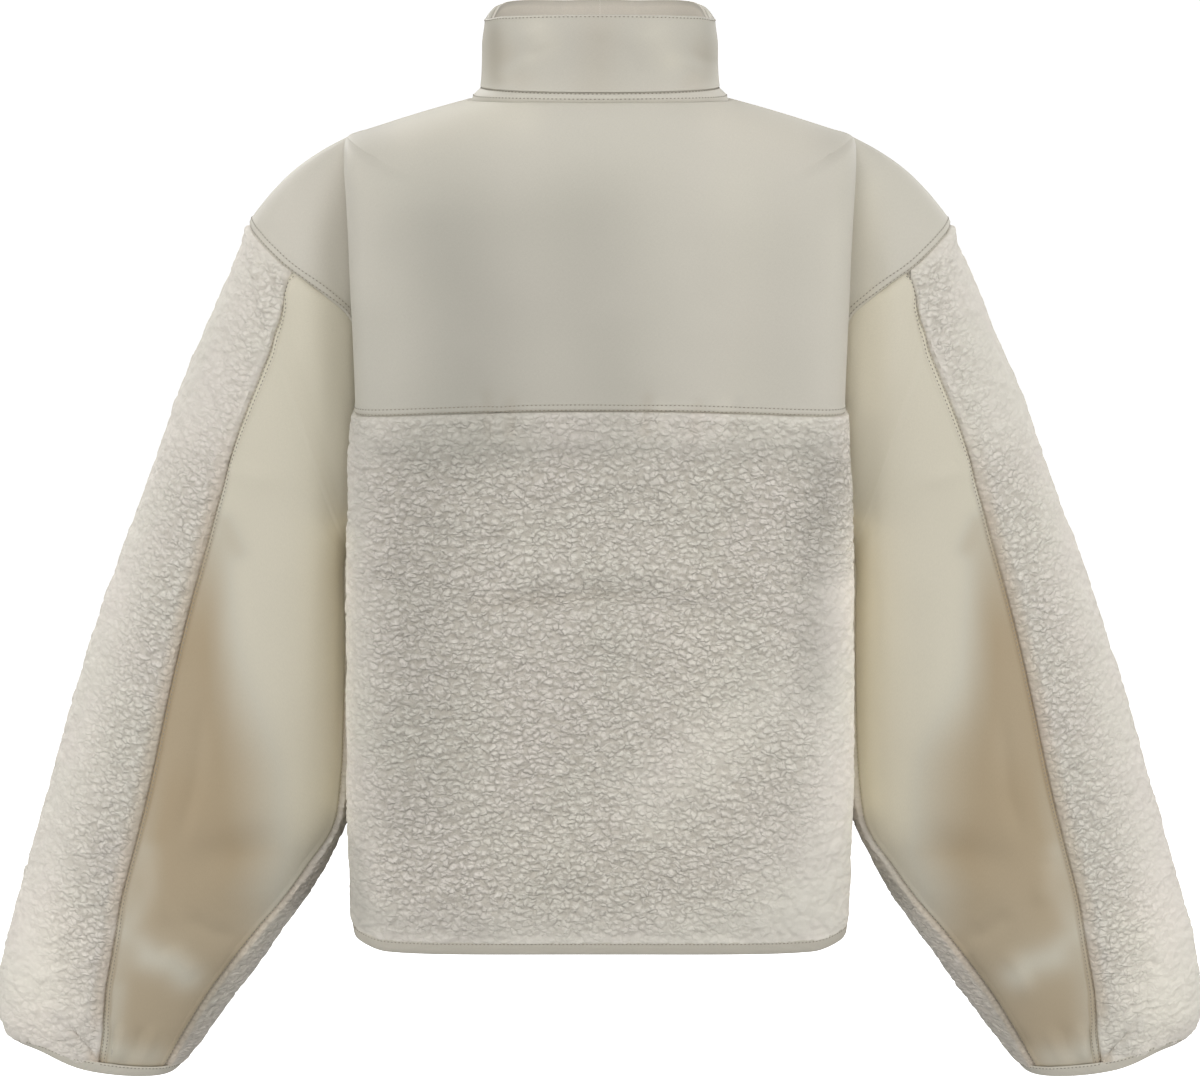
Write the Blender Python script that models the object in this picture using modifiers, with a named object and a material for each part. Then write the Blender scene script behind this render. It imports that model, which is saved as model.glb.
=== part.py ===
"""Zip-front fleece jacket, worn shape with no wearer: smooth yoke and collar, pile body and sleeves.

Front faces -Y, up is +Z, the wearer's left is +X. The origin is the middle of the neck opening.
Every surface below is the inner face of the cloth; walls stand outwards from it.
"""
import math

import bmesh
import bpy
import numpy as np
from mathutils import Vector

MM = 0.001

# cloth and trim, mm
SMOOTH_WALL = 1.8
PILE_WALL = 4.5
PRESSED = 0.42          # share of the pile wall left where a seam or binding squeezes it
BAND_WALL = 2.9
COLLAR_WALL = 1.6
TAPE_WALL = 0.9
TAPE_WIDTH = 14.0
SEAM = 0.15             # each piece stops this far from its seam line
SIDE_SEAM = 0.6         # pile turns in a little at the side seam, so it stops sooner
ZIP_EDGE = 5.0          # front edges stop this far from the centre line
BINDING_HEIGHT = 8.0
BINDING_WALL = 1.3

# one row per ring of the sleeve, mm: outer edge point, inner edge point, middle depth, half depths
SLEEVE_COLUMNS = ("outer_x", "outer_z", "inner_x", "inner_z", "middle_y", "back_y", "front_y")
SLEEVE = np.array([
    (176.0, -35.5, 168.0, -330.0, 0.0, 38.0, 38.0),
    (196.5, -46.5, 171.0, -329.5, 0.0, 46.0, 41.0),
    (216.5, -60.6, 174.0, -329.5, -1.0, 52.0, 44.0),
    (236.7, -81.4, 177.0, -330.5, -2.0, 56.5, 47.0),
    (247.3, -96.6, 179.5, -332.5, -2.0, 59.0, 49.5),
    (250.8, -111.5, 181.5, -335.5, -3.0, 60.5, 51.5),
    (262.4, -139.0, 183.0, -341.0, -3.0, 61.5, 53.5),
    (278.5, -175.0, 183.5, -348.0, -4.0, 62.0, 55.5),
    (300.2, -225.6, 183.0, -358.0, -5.0, 62.0, 57.5),
    (321.0, -284.0, 182.0, -376.0, -6.0, 62.0, 59.0),
    (343.8, -342.8, 181.5, -418.0, -8.0, 62.0, 60.0),
    (364.7, -402.0, 182.0, -470.0, -10.0, 61.0, 60.0),
    (383.4, -462.0, 186.0, -523.0, -13.0, 60.0, 59.0),
    (401.2, -522.0, 204.0, -566.0, -16.0, 58.0, 57.0),
    (419.8, -584.0, 227.5, -603.0, -19.0, 56.0, 55.0),
    (431.5, -624.0, 248.0, -633.0, -21.0, 53.0, 52.0),
    (438.2, -655.0, 269.5, -662.0, -23.0, 49.0, 48.0),
    (440.0, -679.0, 287.5, -687.0, -25.0, 45.0, 44.0),
    (436.0, -694.0, 303.0, -707.0, -26.0, 41.0, 40.5),
    (427.5, -702.5, 315.0, -720.5, -26.0, 38.0, 38.0),
])
CUFF_DROP = 5.0         # the back of the cuff hangs this much lower

# armhole: angle round the sleeve (0 shoulder tip, 180 underarm) of each body ring that meets it
ARM_PHI = np.array([0.0, 14.0, 28.0, 42.0, 56.0, 70.0, 84.0, 106.0, 125.0, 144.0, 162.0, 180.0])

# one row per ring of the body, mm: centre back, side point, widest point of the back, centre front
# and the squareness of the back; side points of rings 5 to 14 lie on the armhole instead
BODY_COLUMNS = ("back_z", "back_y", "side_x", "side_z", "wide_x", "wide_y", "front_z", "front_y",
                "square")
BODY = np.array([
    (-6.0, 63.0, 90.0, -9.5, 90.4, 5.0, -32.0, -80.0, 2.1),
    (-22.0, 76.0, 112.0, -15.5, 112.4, 6.0, -58.0, -92.0, 2.15),
    (-38.0, 85.0, 134.0, -22.0, 134.5, 6.0, -80.0, -100.0, 2.2),
    (-56.0, 92.0, 155.0, -28.7, 155.6, 7.0, -102.0, -106.0, 2.3),
    (-76.0, 97.0, 176.0, -35.5, 177.0, 8.0, -122.0, -109.0, 2.45),
    (-92.0, 100.0, 0.0, 0.0, 178.2, 24.0, -134.0, -110.5, 2.6),
    (-108.0, 102.5, 0.0, 0.0, 177.6, 37.0, -146.0, -111.5, 2.8),
    (-126.0, 105.0, 0.0, 0.0, 176.4, 46.0, -158.0, -112.5, 3.0),
    (-146.0, 107.0, 0.0, 0.0, 175.2, 52.0, -171.0, -113.5, 3.15),
    (-168.0, 108.5, 0.0, 0.0, 173.8, 56.0, -186.0, -114.5, 3.3),
    (-190.0, 109.5, 0.0, 0.0, 172.0, 57.0, -202.0, -115.0, 3.4),
    (-216.0, 110.0, 0.0, 0.0, 170.2, 58.0, -224.0, -115.5, 3.5),
    (-262.0, 110.5, 0.0, 0.0, 172.6, 58.0, -264.0, -115.5, 3.5),
    (-300.0, 110.0, 0.0, 0.0, 173.6, 57.0, -300.0, -115.0, 3.5),
    (-328.0, 110.0, 0.0, 0.0, 174.2, 55.0, -328.0, -114.5, 3.5),
    (-350.0, 109.5, 168.0, -330.0, 174.6, 53.0, -350.0, -114.0, 3.5),
    (-382.0, 109.0, 169.5, -378.0, 175.0, 50.0, -382.0, -113.5, 3.5),
    (-418.0, 108.0, 170.5, -418.0, 175.5, 48.0, -418.0, -112.5, 3.5),
    (-455.0, 107.0, 171.5, -455.0, 175.9, 46.0, -455.0, -111.5, 3.5),
    (-492.0, 106.0, 172.0, -492.0, 176.2, 45.0, -492.0, -110.5, 3.5),
    (-526.0, 105.0, 172.0, -527.0, 176.2, 45.0, -526.0, -109.5, 3.45),
    (-556.0, 104.0, 171.5, -557.0, 175.6, 45.0, -555.0, -108.5, 3.4),
    (-581.0, 103.0, 170.0, -583.0, 174.6, 44.0, -579.0, -107.5, 3.4),
    (-603.5, 102.0, 167.5, -606.0, 172.6, 43.0, -601.5, -106.5, 3.4),
])
NECK_RING = 0
SHOULDER_RING = 4
YOKE_RING = 11
UNDERARM_RING = 15
HEM_RING = len(BODY) - 1
FRONT_OPEN = 0.22       # how openly the front meets the armhole
WALL_SHARE = 0.84       # share of a back ring before it turns in beside the sleeve

# seams on the sleeve: ring number against angle
ARM_SEAM_PHI = (0.0, 18.0, 32.0, 47.0, 56.0, 64.0, 72.5, 78.0, 84.0)
ARM_SEAM_RING = (4.15, 3.95, 3.57, 2.95, 2.52, 2.0, 1.2, 0.55, 0.0)
OUTER_SEAM_RING = (2.52, 3.0, 3.7, 5.3, 7.3, 8.3, 11.0, 12.0, 12.9, 13.7, 14.5, 15.6, 16.5, 17.5, 19.0)
OUTER_SEAM_PHI = (56.0, 62.0, 67.0, 68.0, 69.5, 72.0, 72.0, 72.5, 74.5, 77.0, 81.0, 85.5, 89.0, 91.5, 93.0)
UNDER_SEAM_RING = (0.0, 12.2, 13.0, 13.6, 14.5, 19.0)
UNDER_SEAM_PHI = (162.0, 160.0, 151.5, 147.5, 145.5, 146.5)

# one row per ring of the collar, mm: half width, back y, front y, back z, side z, front z
COLLAR_COLUMNS = ("half_x", "back_y", "front_y", "back_z", "side_z", "front_z")
COLLAR = np.array([
    (90.0, 63.0, -80.0, -6.0, -9.5, -32.0),
    (81.3, 61.0, -77.0, 0.3, 0.2, -25.5),
    (80.2, 59.0, -78.0, 16.0, 13.0, -5.0),
    (79.9, 57.5, -79.5, 34.0, 29.0, 20.0),
    (80.0, 57.0, -81.0, 54.0, 50.0, 56.0),
])
COLLAR_SQUARE = 2.1

PIVOT_Z = 38.0          # pull tab's pivot
PULL_LENGTH = 24.0

COLOURS = {
    "pile": ((0.60, 0.57, 0.53), 0.95, 0.0),
    "smooth": ((0.55, 0.52, 0.44), 0.85, 0.0),
    "facing": ((0.48, 0.44, 0.37), 0.9, 0.0),
    "binding": ((0.58, 0.55, 0.48), 0.85, 0.0),
    "tape": ((0.50, 0.47, 0.41), 0.85, 0.0),
    "metal": ((0.62, 0.60, 0.57), 0.35, 1.0),
}


def clear_scene():
    for obj in list(bpy.data.objects):
        bpy.data.objects.remove(obj, do_unlink=True)


def material(name):
    """Principled material of one of the named cloths."""
    found = bpy.data.materials.get(name)
    if found:
        return found
    colour, rough, metal = COLOURS[name]
    mat = bpy.data.materials.new(name)
    mat.use_nodes = True
    shader = mat.node_tree.nodes["Principled BSDF"]
    shader.inputs["Base Color"].default_value = (*colour, 1.0)
    shader.inputs["Roughness"].default_value = rough
    shader.inputs["Metallic"].default_value = metal
    return mat


def through(xs, ys, at):
    """Cubic through the rows of a table, its slopes limited so that it never overshoots."""
    xs = np.asarray(xs, float)
    ys = np.asarray(ys, float)
    at = np.clip(np.asarray(at, float), xs[0], xs[-1])
    step = np.diff(xs)
    rise = np.diff(ys) / step
    slope = np.zeros_like(ys)
    slope[0] = rise[0]
    slope[-1] = rise[-1]
    if len(xs) > 2:
        same = rise[:-1] * rise[1:] > 0
        left = np.where(same, rise[:-1], 1.0)
        right = np.where(same, rise[1:], 1.0)
        w1 = 2 * step[1:] + step[:-1]
        w2 = step[1:] + 2 * step[:-1]
        slope[1:-1] = np.where(same, (w1 + w2) / (w1 / left + w2 / right), 0.0)
    k = np.clip(np.searchsorted(xs, at, side="right") - 1, 0, len(xs) - 2)
    u = (at - xs[k]) / step[k]
    low = (1 + 2 * u) * (1 - u) ** 2 * ys[k] + u * (1 - u) ** 2 * step[k] * slope[k]
    high = u * u * (3 - 2 * u) * ys[k + 1] + u * u * (u - 1) * step[k] * slope[k + 1]
    return low + high


def columns(table, at):
    """All columns of a table at the given ring numbers."""
    rows = np.arange(len(table), dtype=float)
    return [through(rows, table[:, k], at) for k in range(table.shape[1])]


def power(value, square):
    """Cosine or sine of a rounded square: 2 is an ellipse, more is squarer."""
    return np.sign(value) * np.abs(value) ** (2.0 / square)


def sleeve(ring, phi):
    """Point of the left sleeve: ring number down the arm, angle round it from the outer edge."""
    ring, phi = np.broadcast_arrays(np.asarray(ring, float), np.radians(np.asarray(phi, float)))
    outer_x, outer_z, inner_x, inner_z, middle_y, back_y, front_y = columns(SLEEVE, ring)
    square = 2.0 + 0.3 * np.clip(ring / 8.0, 0.0, 1.0)
    across = power(np.cos(phi), square)
    deep = power(np.sin(phi), square)
    x = (outer_x + inner_x) / 2 + (outer_x - inner_x) / 2 * across
    z = (outer_z + inner_z) / 2 + (outer_z - inner_z) / 2 * across
    z = z - CUFF_DROP * np.clip((ring - 15.0) / 4.0, 0.0, 1.0) * deep
    return np.stack([x, middle_y + np.where(deep > 0, back_y, front_y) * deep, z], -1)


def side_points(ring, front):
    """Where a body ring ends: on the shoulder line, on the armhole, or at the side seam."""
    rows = np.arange(len(BODY), dtype=float)
    arm = np.interp(ring, np.arange(SHOULDER_RING, UNDERARM_RING + 1), ARM_PHI)
    hole = sleeve(0.0, -arm if front else arm)
    upper = slice(0, SHOULDER_RING + 1)
    lower = slice(UNDERARM_RING, None)
    above = np.stack([through(rows[upper], BODY[upper, 2], np.minimum(ring, SHOULDER_RING)),
                      np.zeros_like(ring),
                      through(rows[upper], BODY[upper, 3], np.minimum(ring, SHOULDER_RING))], -1)
    below = np.stack([through(rows[lower], BODY[lower, 2], np.maximum(ring, UNDERARM_RING)),
                      np.zeros_like(ring),
                      through(rows[lower], BODY[lower, 3], np.maximum(ring, UNDERARM_RING))], -1)
    points = np.where((ring > UNDERARM_RING)[..., None], below, hole)
    return np.where((ring < SHOULDER_RING)[..., None], above, points)


def body_back(ring, t):
    """Point of the left half of the back: t is 0 at the centre line and 1 at the side."""
    ring, t = np.broadcast_arrays(np.asarray(ring, float), np.asarray(t, float))
    back_z, back_y, _, _, wide_x, wide_y, _, _, square = columns(BODY, ring)
    end = side_points(ring, False)
    angle = np.clip(t / WALL_SHARE, 0.0, 1.0) * math.pi / 2
    turn = np.clip((t - WALL_SHARE) / (1.0 - WALL_SHARE), 0.0, 1.0)
    x = wide_x * power(np.sin(angle), square) - (wide_x - end[..., 0]) * turn * turn
    y = wide_y + (back_y - wide_y) * power(np.cos(angle), square) - (wide_y - end[..., 1]) * turn
    share = np.where(turn > 0, 1.0, np.clip(x / wide_x, 0.0, 1.0) ** 2.4)
    return np.stack([x, y, back_z + (end[..., 2] - back_z) * share], -1)


def body_front(ring, t):
    """Point of the left half of the front: t is 0 at the centre line and 1 at the side."""
    ring, t = np.broadcast_arrays(np.asarray(ring, float), np.asarray(t, float))
    _, _, _, _, _, _, front_z, front_y, _ = columns(BODY, ring)
    end = side_points(ring, True)
    square = 2.2 + 0.5 * np.clip(ring / 10.0, 0.0, 1.0)
    beside = np.clip((ring - SHOULDER_RING) / 2.0, 0.0, 1.0) * np.clip((17.0 - ring) / 2.0, 0.0, 1.0)
    last = math.pi / 2 * (1.0 - FRONT_OPEN * beside)
    x = end[..., 0] * power(np.sin(t * last), square) / power(np.sin(last), square)
    least = power(np.cos(last), square) * (beside > 0)
    y = end[..., 1] + (front_y - end[..., 1]) * (power(np.cos(t * last), square) - least) / (1.0 - least)
    share = np.abs(x / end[..., 0]) ** 2.4
    return np.stack([x, y, front_z + (end[..., 2] - front_z) * share], -1)


def collar(ring, angle):
    """Point of the collar: angle 0 at the left side, 90 at the back, 270 at the front."""
    ring, angle = np.broadcast_arrays(np.asarray(ring, float), np.radians(np.asarray(angle, float)))
    half_x, back_y, front_y, back_z, side_z, front_z = columns(COLLAR, ring)
    across = power(np.cos(angle), COLLAR_SQUARE)
    deep = power(np.sin(angle), COLLAR_SQUARE)
    y = np.where(deep > 0, back_y, -front_y) * deep
    share = np.abs(across) ** 2.4
    middle_z = np.where(deep > 0, back_z, front_z)
    return np.stack([half_x * across, y, middle_z + (side_z - middle_z) * share], -1)


def arm_seam(phi):
    """Ring number where the armhole seam crosses the given angle of the sleeve."""
    return through(ARM_SEAM_PHI, ARM_SEAM_RING, np.minimum(np.abs(phi), ARM_SEAM_PHI[-1]))


def mirror(grid):
    return grid * np.array([-1.0, 1.0, 1.0])


def pulled(grid, edge, amount):
    """Grid with one edge moved towards the row beside it: top, bottom, left or right.

    The amount is one length in mm, or one for each point of the edge.
    """
    grid = grid.copy()
    turned = grid if edge in ("top", "bottom") else grid.transpose(1, 0, 2)
    here, beside = (0, 1) if edge in ("top", "left") else (-1, -2)
    way = turned[beside] - turned[here]
    length = np.linalg.norm(way, axis=-1, keepdims=True)
    amount = np.broadcast_to(np.asarray(amount, float), length.shape[:1])[:, None]
    turned[here] += way / np.maximum(length, 1e-6) * np.where(length > 1e-6, amount, 0.0)
    return grid


def to_centre_gap(grid, gap):
    """Front grid whose first column stops short of the centre line."""
    grid = grid.copy()
    grid[:, 0, 0] = gap
    return grid


def outwards(grid, centre):
    """True if the face order of a grid turns away from the given centre points."""
    mid = (grid[1:, 1:] + grid[:-1, :-1]) / 2
    down = grid[1:, :-1] - grid[:-1, :-1] + grid[1:, 1:] - grid[:-1, 1:]
    side = grid[:-1, 1:] - grid[:-1, :-1] + grid[1:, 1:] - grid[1:, :-1]
    return np.sum(np.cross(down, side) * (mid - centre)) > 0


def add_object(name, verts, faces, cloth):
    """Mesh object in metres with its material, in the jacket's collection."""
    mesh = bpy.data.meshes.new(name)
    mesh.from_pydata([tuple(v) for v in np.asarray(verts) * MM], [], faces)
    mesh.materials.append(material(cloth))
    obj = bpy.data.objects.new(name, mesh)
    PARTS.objects.link(obj)
    return obj


def grid_faces(rows, cols, flip, start):
    """Quads of a grid of points whose first vertex has the start number."""
    faces = []
    for i in range(rows - 1):
        for j in range(cols - 1):
            quad = (i * cols + j, (i + 1) * cols + j, (i + 1) * cols + j + 1, i * cols + j + 1)
            faces.append(tuple(start + n for n in (quad[::-1] if flip else quad)))
    return faces


def cloth_shell(name, patches, wall, cloth, pressed=()):
    """One piece of cloth: grids joined along their shared edges and given a wall by Solidify.

    Each patch is (grid, centre). pressed lists points where the wall is squeezed.
    """
    verts = []
    faces = []
    for grid, centre in patches:
        rows, cols = grid.shape[:2]
        faces += grid_faces(rows, cols, not outwards(grid, centre), len(verts))
        verts += [tuple(p) for p in grid.reshape(-1, 3)]
    obj = add_object(name, verts, faces, cloth)
    joined = bmesh.new()
    joined.from_mesh(obj.data)
    bmesh.ops.remove_doubles(joined, verts=joined.verts, dist=0.00002)
    bmesh.ops.dissolve_degenerate(joined, edges=joined.edges, dist=0.00001)
    joined.to_mesh(obj.data)
    joined.free()
    obj.data.shade_smooth()
    solid = obj.modifiers.new("wall", "SOLIDIFY")
    solid.thickness = wall * MM
    solid.offset = 1.0
    if len(pressed):
        group = obj.vertex_groups.new(name="pile")
        spots = np.asarray(pressed, float).reshape(-1, 3)
        for vert in obj.data.vertices:
            away = np.linalg.norm(spots - np.array(vert.co) / MM, axis=1).min()
            group.add([vert.index], 0.0 if away < 0.05 else 1.0, "REPLACE")
        solid.vertex_group = "pile"
        solid.thickness_vertex_group = PRESSED
    return obj


def swept(name, sections, cloth, closed):
    """Solid through equal rings of points, capped at both ends unless it closes on itself."""
    sections = np.asarray(sections, float)
    count, corners = sections.shape[:2]
    faces = []
    for i in range(count if closed else count - 1):
        k = (i + 1) % count
        for j in range(corners):
            m = (j + 1) % corners
            faces.append((i * corners + j, i * corners + m, k * corners + m, k * corners + j))
    if not closed:
        faces.append(tuple(range(corners))[::-1])
        faces.append(tuple((count - 1) * corners + j for j in range(corners)))
    obj = add_object(name, sections.reshape(-1, 3), faces, cloth)
    work = bmesh.new()
    work.from_mesh(obj.data)
    bmesh.ops.recalc_face_normals(work, faces=work.faces)
    work.to_mesh(obj.data)
    work.free()
    return obj


def unit(ways):
    return ways / np.linalg.norm(ways, axis=-1, keepdims=True)


def edge_frame(edge, inside, along, middle):
    """At each point of a cut edge: the way into the cloth, and the way out from the middle."""
    into = unit(inside - edge)
    normal = unit(np.cross(along, into))
    return into, normal * np.sign(np.sum(normal * (edge - middle), axis=-1, keepdims=True))


def bind(name, edge, into, normal, wall, cloth, closed):
    """Binding folded round a cut edge: a U of cloth over a wall, clear of it by the seam gap."""
    gap = 0.3
    thick = BINDING_WALL
    top = BINDING_HEIGHT
    face = wall + 1.1
    profile = (
        (-gap - thick, top), (-gap, top), (-gap, -gap), (face, -gap), (face, top),
        (face + thick, top), (face + thick, -gap * 2), (wall / 2, -gap - thick),
        (-gap - thick, -gap * 2),
    )
    sections = [[e + n * out + i * up for out, up in profile] for e, i, n in zip(edge, into, normal)]
    return swept(name, sections, cloth, closed)


# columns of the body: closer where the back turns round to the side
BACK_T = np.concatenate([np.linspace(0.0, WALL_SHARE, 9), (0.92, 1.0)])
FRONT_T = np.linspace(0.0, 1.0, 9)
BODY_CENTRE = np.array([0.0, 0.0, -300.0])


def back_grid(rings):
    """Whole back between the two sides, left side first."""
    left = body_back(np.asarray(rings)[:, None], BACK_T[None, :])
    return np.concatenate([left[:, ::-1], mirror(left)[:, 1:]], axis=1)


def front_grid(rings):
    return to_centre_gap(body_front(np.asarray(rings)[:, None], FRONT_T[None, :]), ZIP_EDGE)


def wing_grid(sign):
    """Part of the yoke that runs out over the shoulder: rows down the arm to the armhole seam."""
    phi = ARM_PHI[ARM_PHI <= ARM_SEAM_PHI[-1]] * sign
    share = np.linspace(0.0, 1.0, 4)[:, None]
    return pulled(sleeve(share * arm_seam(phi)[None, :], phi[None, :]), "bottom", SEAM)


def build_yoke():
    rings = np.arange(NECK_RING, YOKE_RING + 1, dtype=float)
    back = pulled(pulled(back_grid(rings), "top", 0.5), "bottom", SEAM)
    side_pull = np.zeros(len(rings))
    side_pull[-1] = 3.4
    back = pulled(pulled(back, "left", side_pull), "right", side_pull)
    front = pulled(pulled(front_grid(rings), "top", 0.5), "bottom", SEAM)
    front = pulled(front, "right", side_pull)
    patches = [(back, BODY_CENTRE), (front, BODY_CENTRE), (mirror(front), BODY_CENTRE)]
    inside = np.array([180.0, 0.0, -180.0])
    for sign in (1, -1):
        wing = wing_grid(sign)
        patches.append((wing, inside))
        patches.append((mirror(wing), mirror(inside)))
    cloth_shell("yoke", patches, SMOOTH_WALL, "smooth")


def body_rings():
    """Rings of the pile panels, with one more ring above the hem binding."""
    rings = np.arange(YOKE_RING, HEM_RING + 1, dtype=float)
    return np.concatenate([rings[:-1], (HEM_RING - 0.43, HEM_RING)])


def pile_panel(name, grid, wall_sides):
    """Body panel of pile: pulled back from the armhole and pressed thin there and at the hem."""
    grid = pulled(pulled(grid, "top", SEAM), "bottom", SEAM)
    pull = np.full(len(grid), SIDE_SEAM)
    pull[:4] = (5.6, 6.4, 6.2, 5.0)
    pressed = []
    for side, column in wall_sides:
        grid = pulled(grid, side, pull)
        grid[:5, column, 2] -= (0.0, 2.0, 4.0, 5.5, 5.5)
        pressed.append(grid[:5, column])
    pressed.append(grid[-1])
    pressed.append(grid[-2])
    cloth_shell(name, [(grid, BODY_CENTRE)], PILE_WALL, "pile", np.concatenate(pressed))


def build_body():
    pile_panel("back_panel", back_grid(body_rings()), (("left", 0), ("right", -1)))
    front = front_grid(body_rings())
    pile_panel("front_panel_left", front, (("right", -1),))
    pile_panel("front_panel_right", mirror(front), (("right", -1),))


BACK_PHI = np.array([56.0, 70.0, 84.0, 106.0, 125.0, 144.0, 162.0])
FRONT_PHI = np.array([162.0, 180.0, 198.0, 216.0, 235.0, 254.0, 276.0, 290.0, 304.0, 318.0, 332.0,
                      346.0, 360.0, 374.0, 388.0, 402.0, 416.0])


def sleeve_grid(phi, wrap):
    """Sleeve panel between its two seams: columns start at the armhole angles, rows go down."""
    turned = np.where(phi > 180.0, phi - 360.0, phi)
    start = arm_seam(turned)
    share = np.concatenate([(0.0, 0.03), np.linspace(0.11, 0.91, 11), (0.955, 1.0)])[:, None]
    ring = start[None, :] + (19.0 - start[None, :]) * share
    outer = through(OUTER_SEAM_RING, OUTER_SEAM_PHI, np.maximum(ring, OUTER_SEAM_RING[0]))
    under = through(UNDER_SEAM_RING, UNDER_SEAM_PHI, ring)
    if wrap:
        part = (phi[None, :] - 162.0) / (416.0 - 162.0)
        angle = under + (outer + 360.0 - under) * part
    else:
        part = (phi[None, :] - 56.0) / (162.0 - 56.0)
        angle = outer + (under - outer) * part
    blend = np.clip(share / 0.3, 0.0, 1.0)
    blend = blend * blend * (3 - 2 * blend)
    edge = (phi == phi[0]) | (phi == phi[-1])
    angle = np.where(edge[None, :], angle, phi[None, :] + (angle - phi[None, :]) * blend)
    return sleeve(ring, angle)


def build_sleeves():
    for side in ("left", "right"):
        turn = mirror if side == "right" else np.copy
        back = sleeve_grid(BACK_PHI, False)
        front = sleeve_grid(FRONT_PHI, True)
        for edge in ("left", "right", "bottom"):
            back = pulled(back, edge, SEAM)
            front = pulled(front, edge, SEAM)
        back = pulled(back, "top", beside_fold(BACK_PHI))
        front = pulled(front, "top", beside_fold(FRONT_PHI))
        pressed = np.concatenate([front[0], front[-1], front[-2]])
        cloth_shell("sleeve_%s_back" % side, [(turn(back), turn(tube_centre(back)))],
                    SMOOTH_WALL, "smooth")
        cloth_shell("sleeve_%s_front" % side, [(turn(front), turn(tube_centre(front)))],
                    PILE_WALL, "pile", turn(pressed))
        edge = round_tube(back[-1], front[-1])
        along = np.roll(edge, -1, axis=0) - np.roll(edge, 1, axis=0)
        into, normal = edge_frame(edge, round_tube(back[-2], front[-2]), along, edge.mean(axis=0))
        bind("cuff_%s" % side, turn(edge), turn(into), turn(normal), PILE_WALL * PRESSED,
             "binding", True)


def beside_fold(phi):
    """Pull of each column at the armhole: more where the yoke's fold stands in the way."""
    turned = np.abs(np.where(phi > 180.0, phi - 360.0, phi))
    return np.interp(turned, (83.0, 84.0, 106.0, 107.0), (SEAM, 4.2, 4.0, 0.3))


def round_tube(back, front):
    """One closed ring from the same row of both sleeve panels, their seam points averaged."""
    under = (back[-1] + front[0]) / 2
    outer = (back[0] + front[-1]) / 2
    return np.concatenate([outer[None], back[1:-1], under[None], front[1:-1]])


def tube_centre(grid):
    """Middle of the sleeve beside each cell of a grid, for turning faces outwards."""
    outer_x, outer_z, inner_x, inner_z, middle_y, _, _ = columns(
        SLEEVE, np.linspace(3.0, 19.0, len(grid) - 1))
    centre = np.stack([(outer_x + inner_x) / 2, middle_y, (outer_z + inner_z) / 2], -1)
    return np.repeat(centre[:, None], grid.shape[1] - 1, axis=1)


def build_hem():
    back = np.concatenate([body_back(HEM_RING, BACK_T), body_front(HEM_RING, FRONT_T[1:-1])[::-1]])
    above = np.concatenate([body_back(HEM_RING - 0.3, BACK_T),
                            body_front(HEM_RING - 0.3, FRONT_T[1:-1])[::-1]])
    last = body_front(HEM_RING, 0.0)
    last_above = body_front(HEM_RING - 0.3, 0.0)
    last[0] = last_above[0] = ZIP_EDGE
    left = np.concatenate([back, last[None]])
    left_above = np.concatenate([above, last_above[None]])
    edge = np.concatenate([left[::-1], mirror(left)[1:]])
    inside = np.concatenate([left_above[::-1], mirror(left_above)[1:]])
    into, normal = edge_frame(edge, inside, np.gradient(edge, axis=0), np.array([0.0, 0.0, -600.0]))
    bind("hem_binding", edge, into, normal, PILE_WALL * PRESSED, "binding", False)


COLLAR_ANGLES = np.linspace(-86.3, 266.3, 33)


def collar_frame(ring, angles):
    """Points of a collar ring with the outward and upward ways at each of them."""
    points = collar(ring, angles)
    points[0, 0] = ZIP_EDGE
    points[-1, 0] = -ZIP_EDGE
    up = collar(np.minimum(ring + 0.2, 4.0), angles) - collar(np.minimum(ring + 0.2, 4.0) - 0.2, angles)
    up[0, 0] = up[-1, 0] = 0.0
    along = np.gradient(collar(ring, angles), axis=0)
    return points, unit(np.cross(along, up)), unit(up)


def build_collar():
    rings = [collar_frame(ring, COLLAR_ANGLES) for ring in (0.0, 1.0, 2.0, 3.0, 4.0)]
    out = 0.3 + COLLAR_WALL
    band_low, band_high = rings[0], rings[1]
    middle, middle_normal, _ = collar_frame(0.5, COLLAR_ANGLES)
    band = []
    for k in range(len(COLLAR_ANGLES)):
        low = band_low[0][k] + (band_high[0][k] - band_low[0][k]) * 0.06
        high = band_high[0][k] + (band_low[0][k] - band_high[0][k]) * 0.04
        band.append([low, low + band_low[1][k] * (BAND_WALL - 0.4),
                     middle[k] + middle_normal[k] * BAND_WALL,
                     high + band_high[1][k] * (BAND_WALL - 0.2), high])
    swept("neck_band", band, "smooth", False)
    facing = []
    outer = []
    for k in range(len(COLLAR_ANGLES)):
        up = rings[-1][2][k]
        inner_line = [ring[0][k] for ring in rings[1:-1]]
        normals = [ring[1][k] for ring in rings[1:]]
        start = 0.3 * rings[1][2][k]
        inner_line[0] = inner_line[0] + start
        peak = rings[-1][0][k]
        top = peak - up * 2.6
        facing.append(inner_line + [top, top + normals[-1] * COLLAR_WALL]
                      + [p + n * COLLAR_WALL for p, n in zip(inner_line[::-1], normals[-2::-1])])
        rise = [p + n * out for p, n in zip(inner_line, normals)]
        face = [p + n * (out + COLLAR_WALL) for p, n in zip(inner_line, normals)]
        cap = [peak - up * 2.3 + normals[-1] * out, peak - up * 2.3, peak - up * 0.9,
               peak + normals[-1] * 0.9, peak + normals[-1] * (out + COLLAR_WALL - 0.9),
               peak - up * 0.9 + normals[-1] * (out + COLLAR_WALL)]
        outer.append(rise + cap + face[::-1])
    swept("collar_facing", facing, "facing", False)
    swept("collar", outer, "smooth", False)


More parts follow.
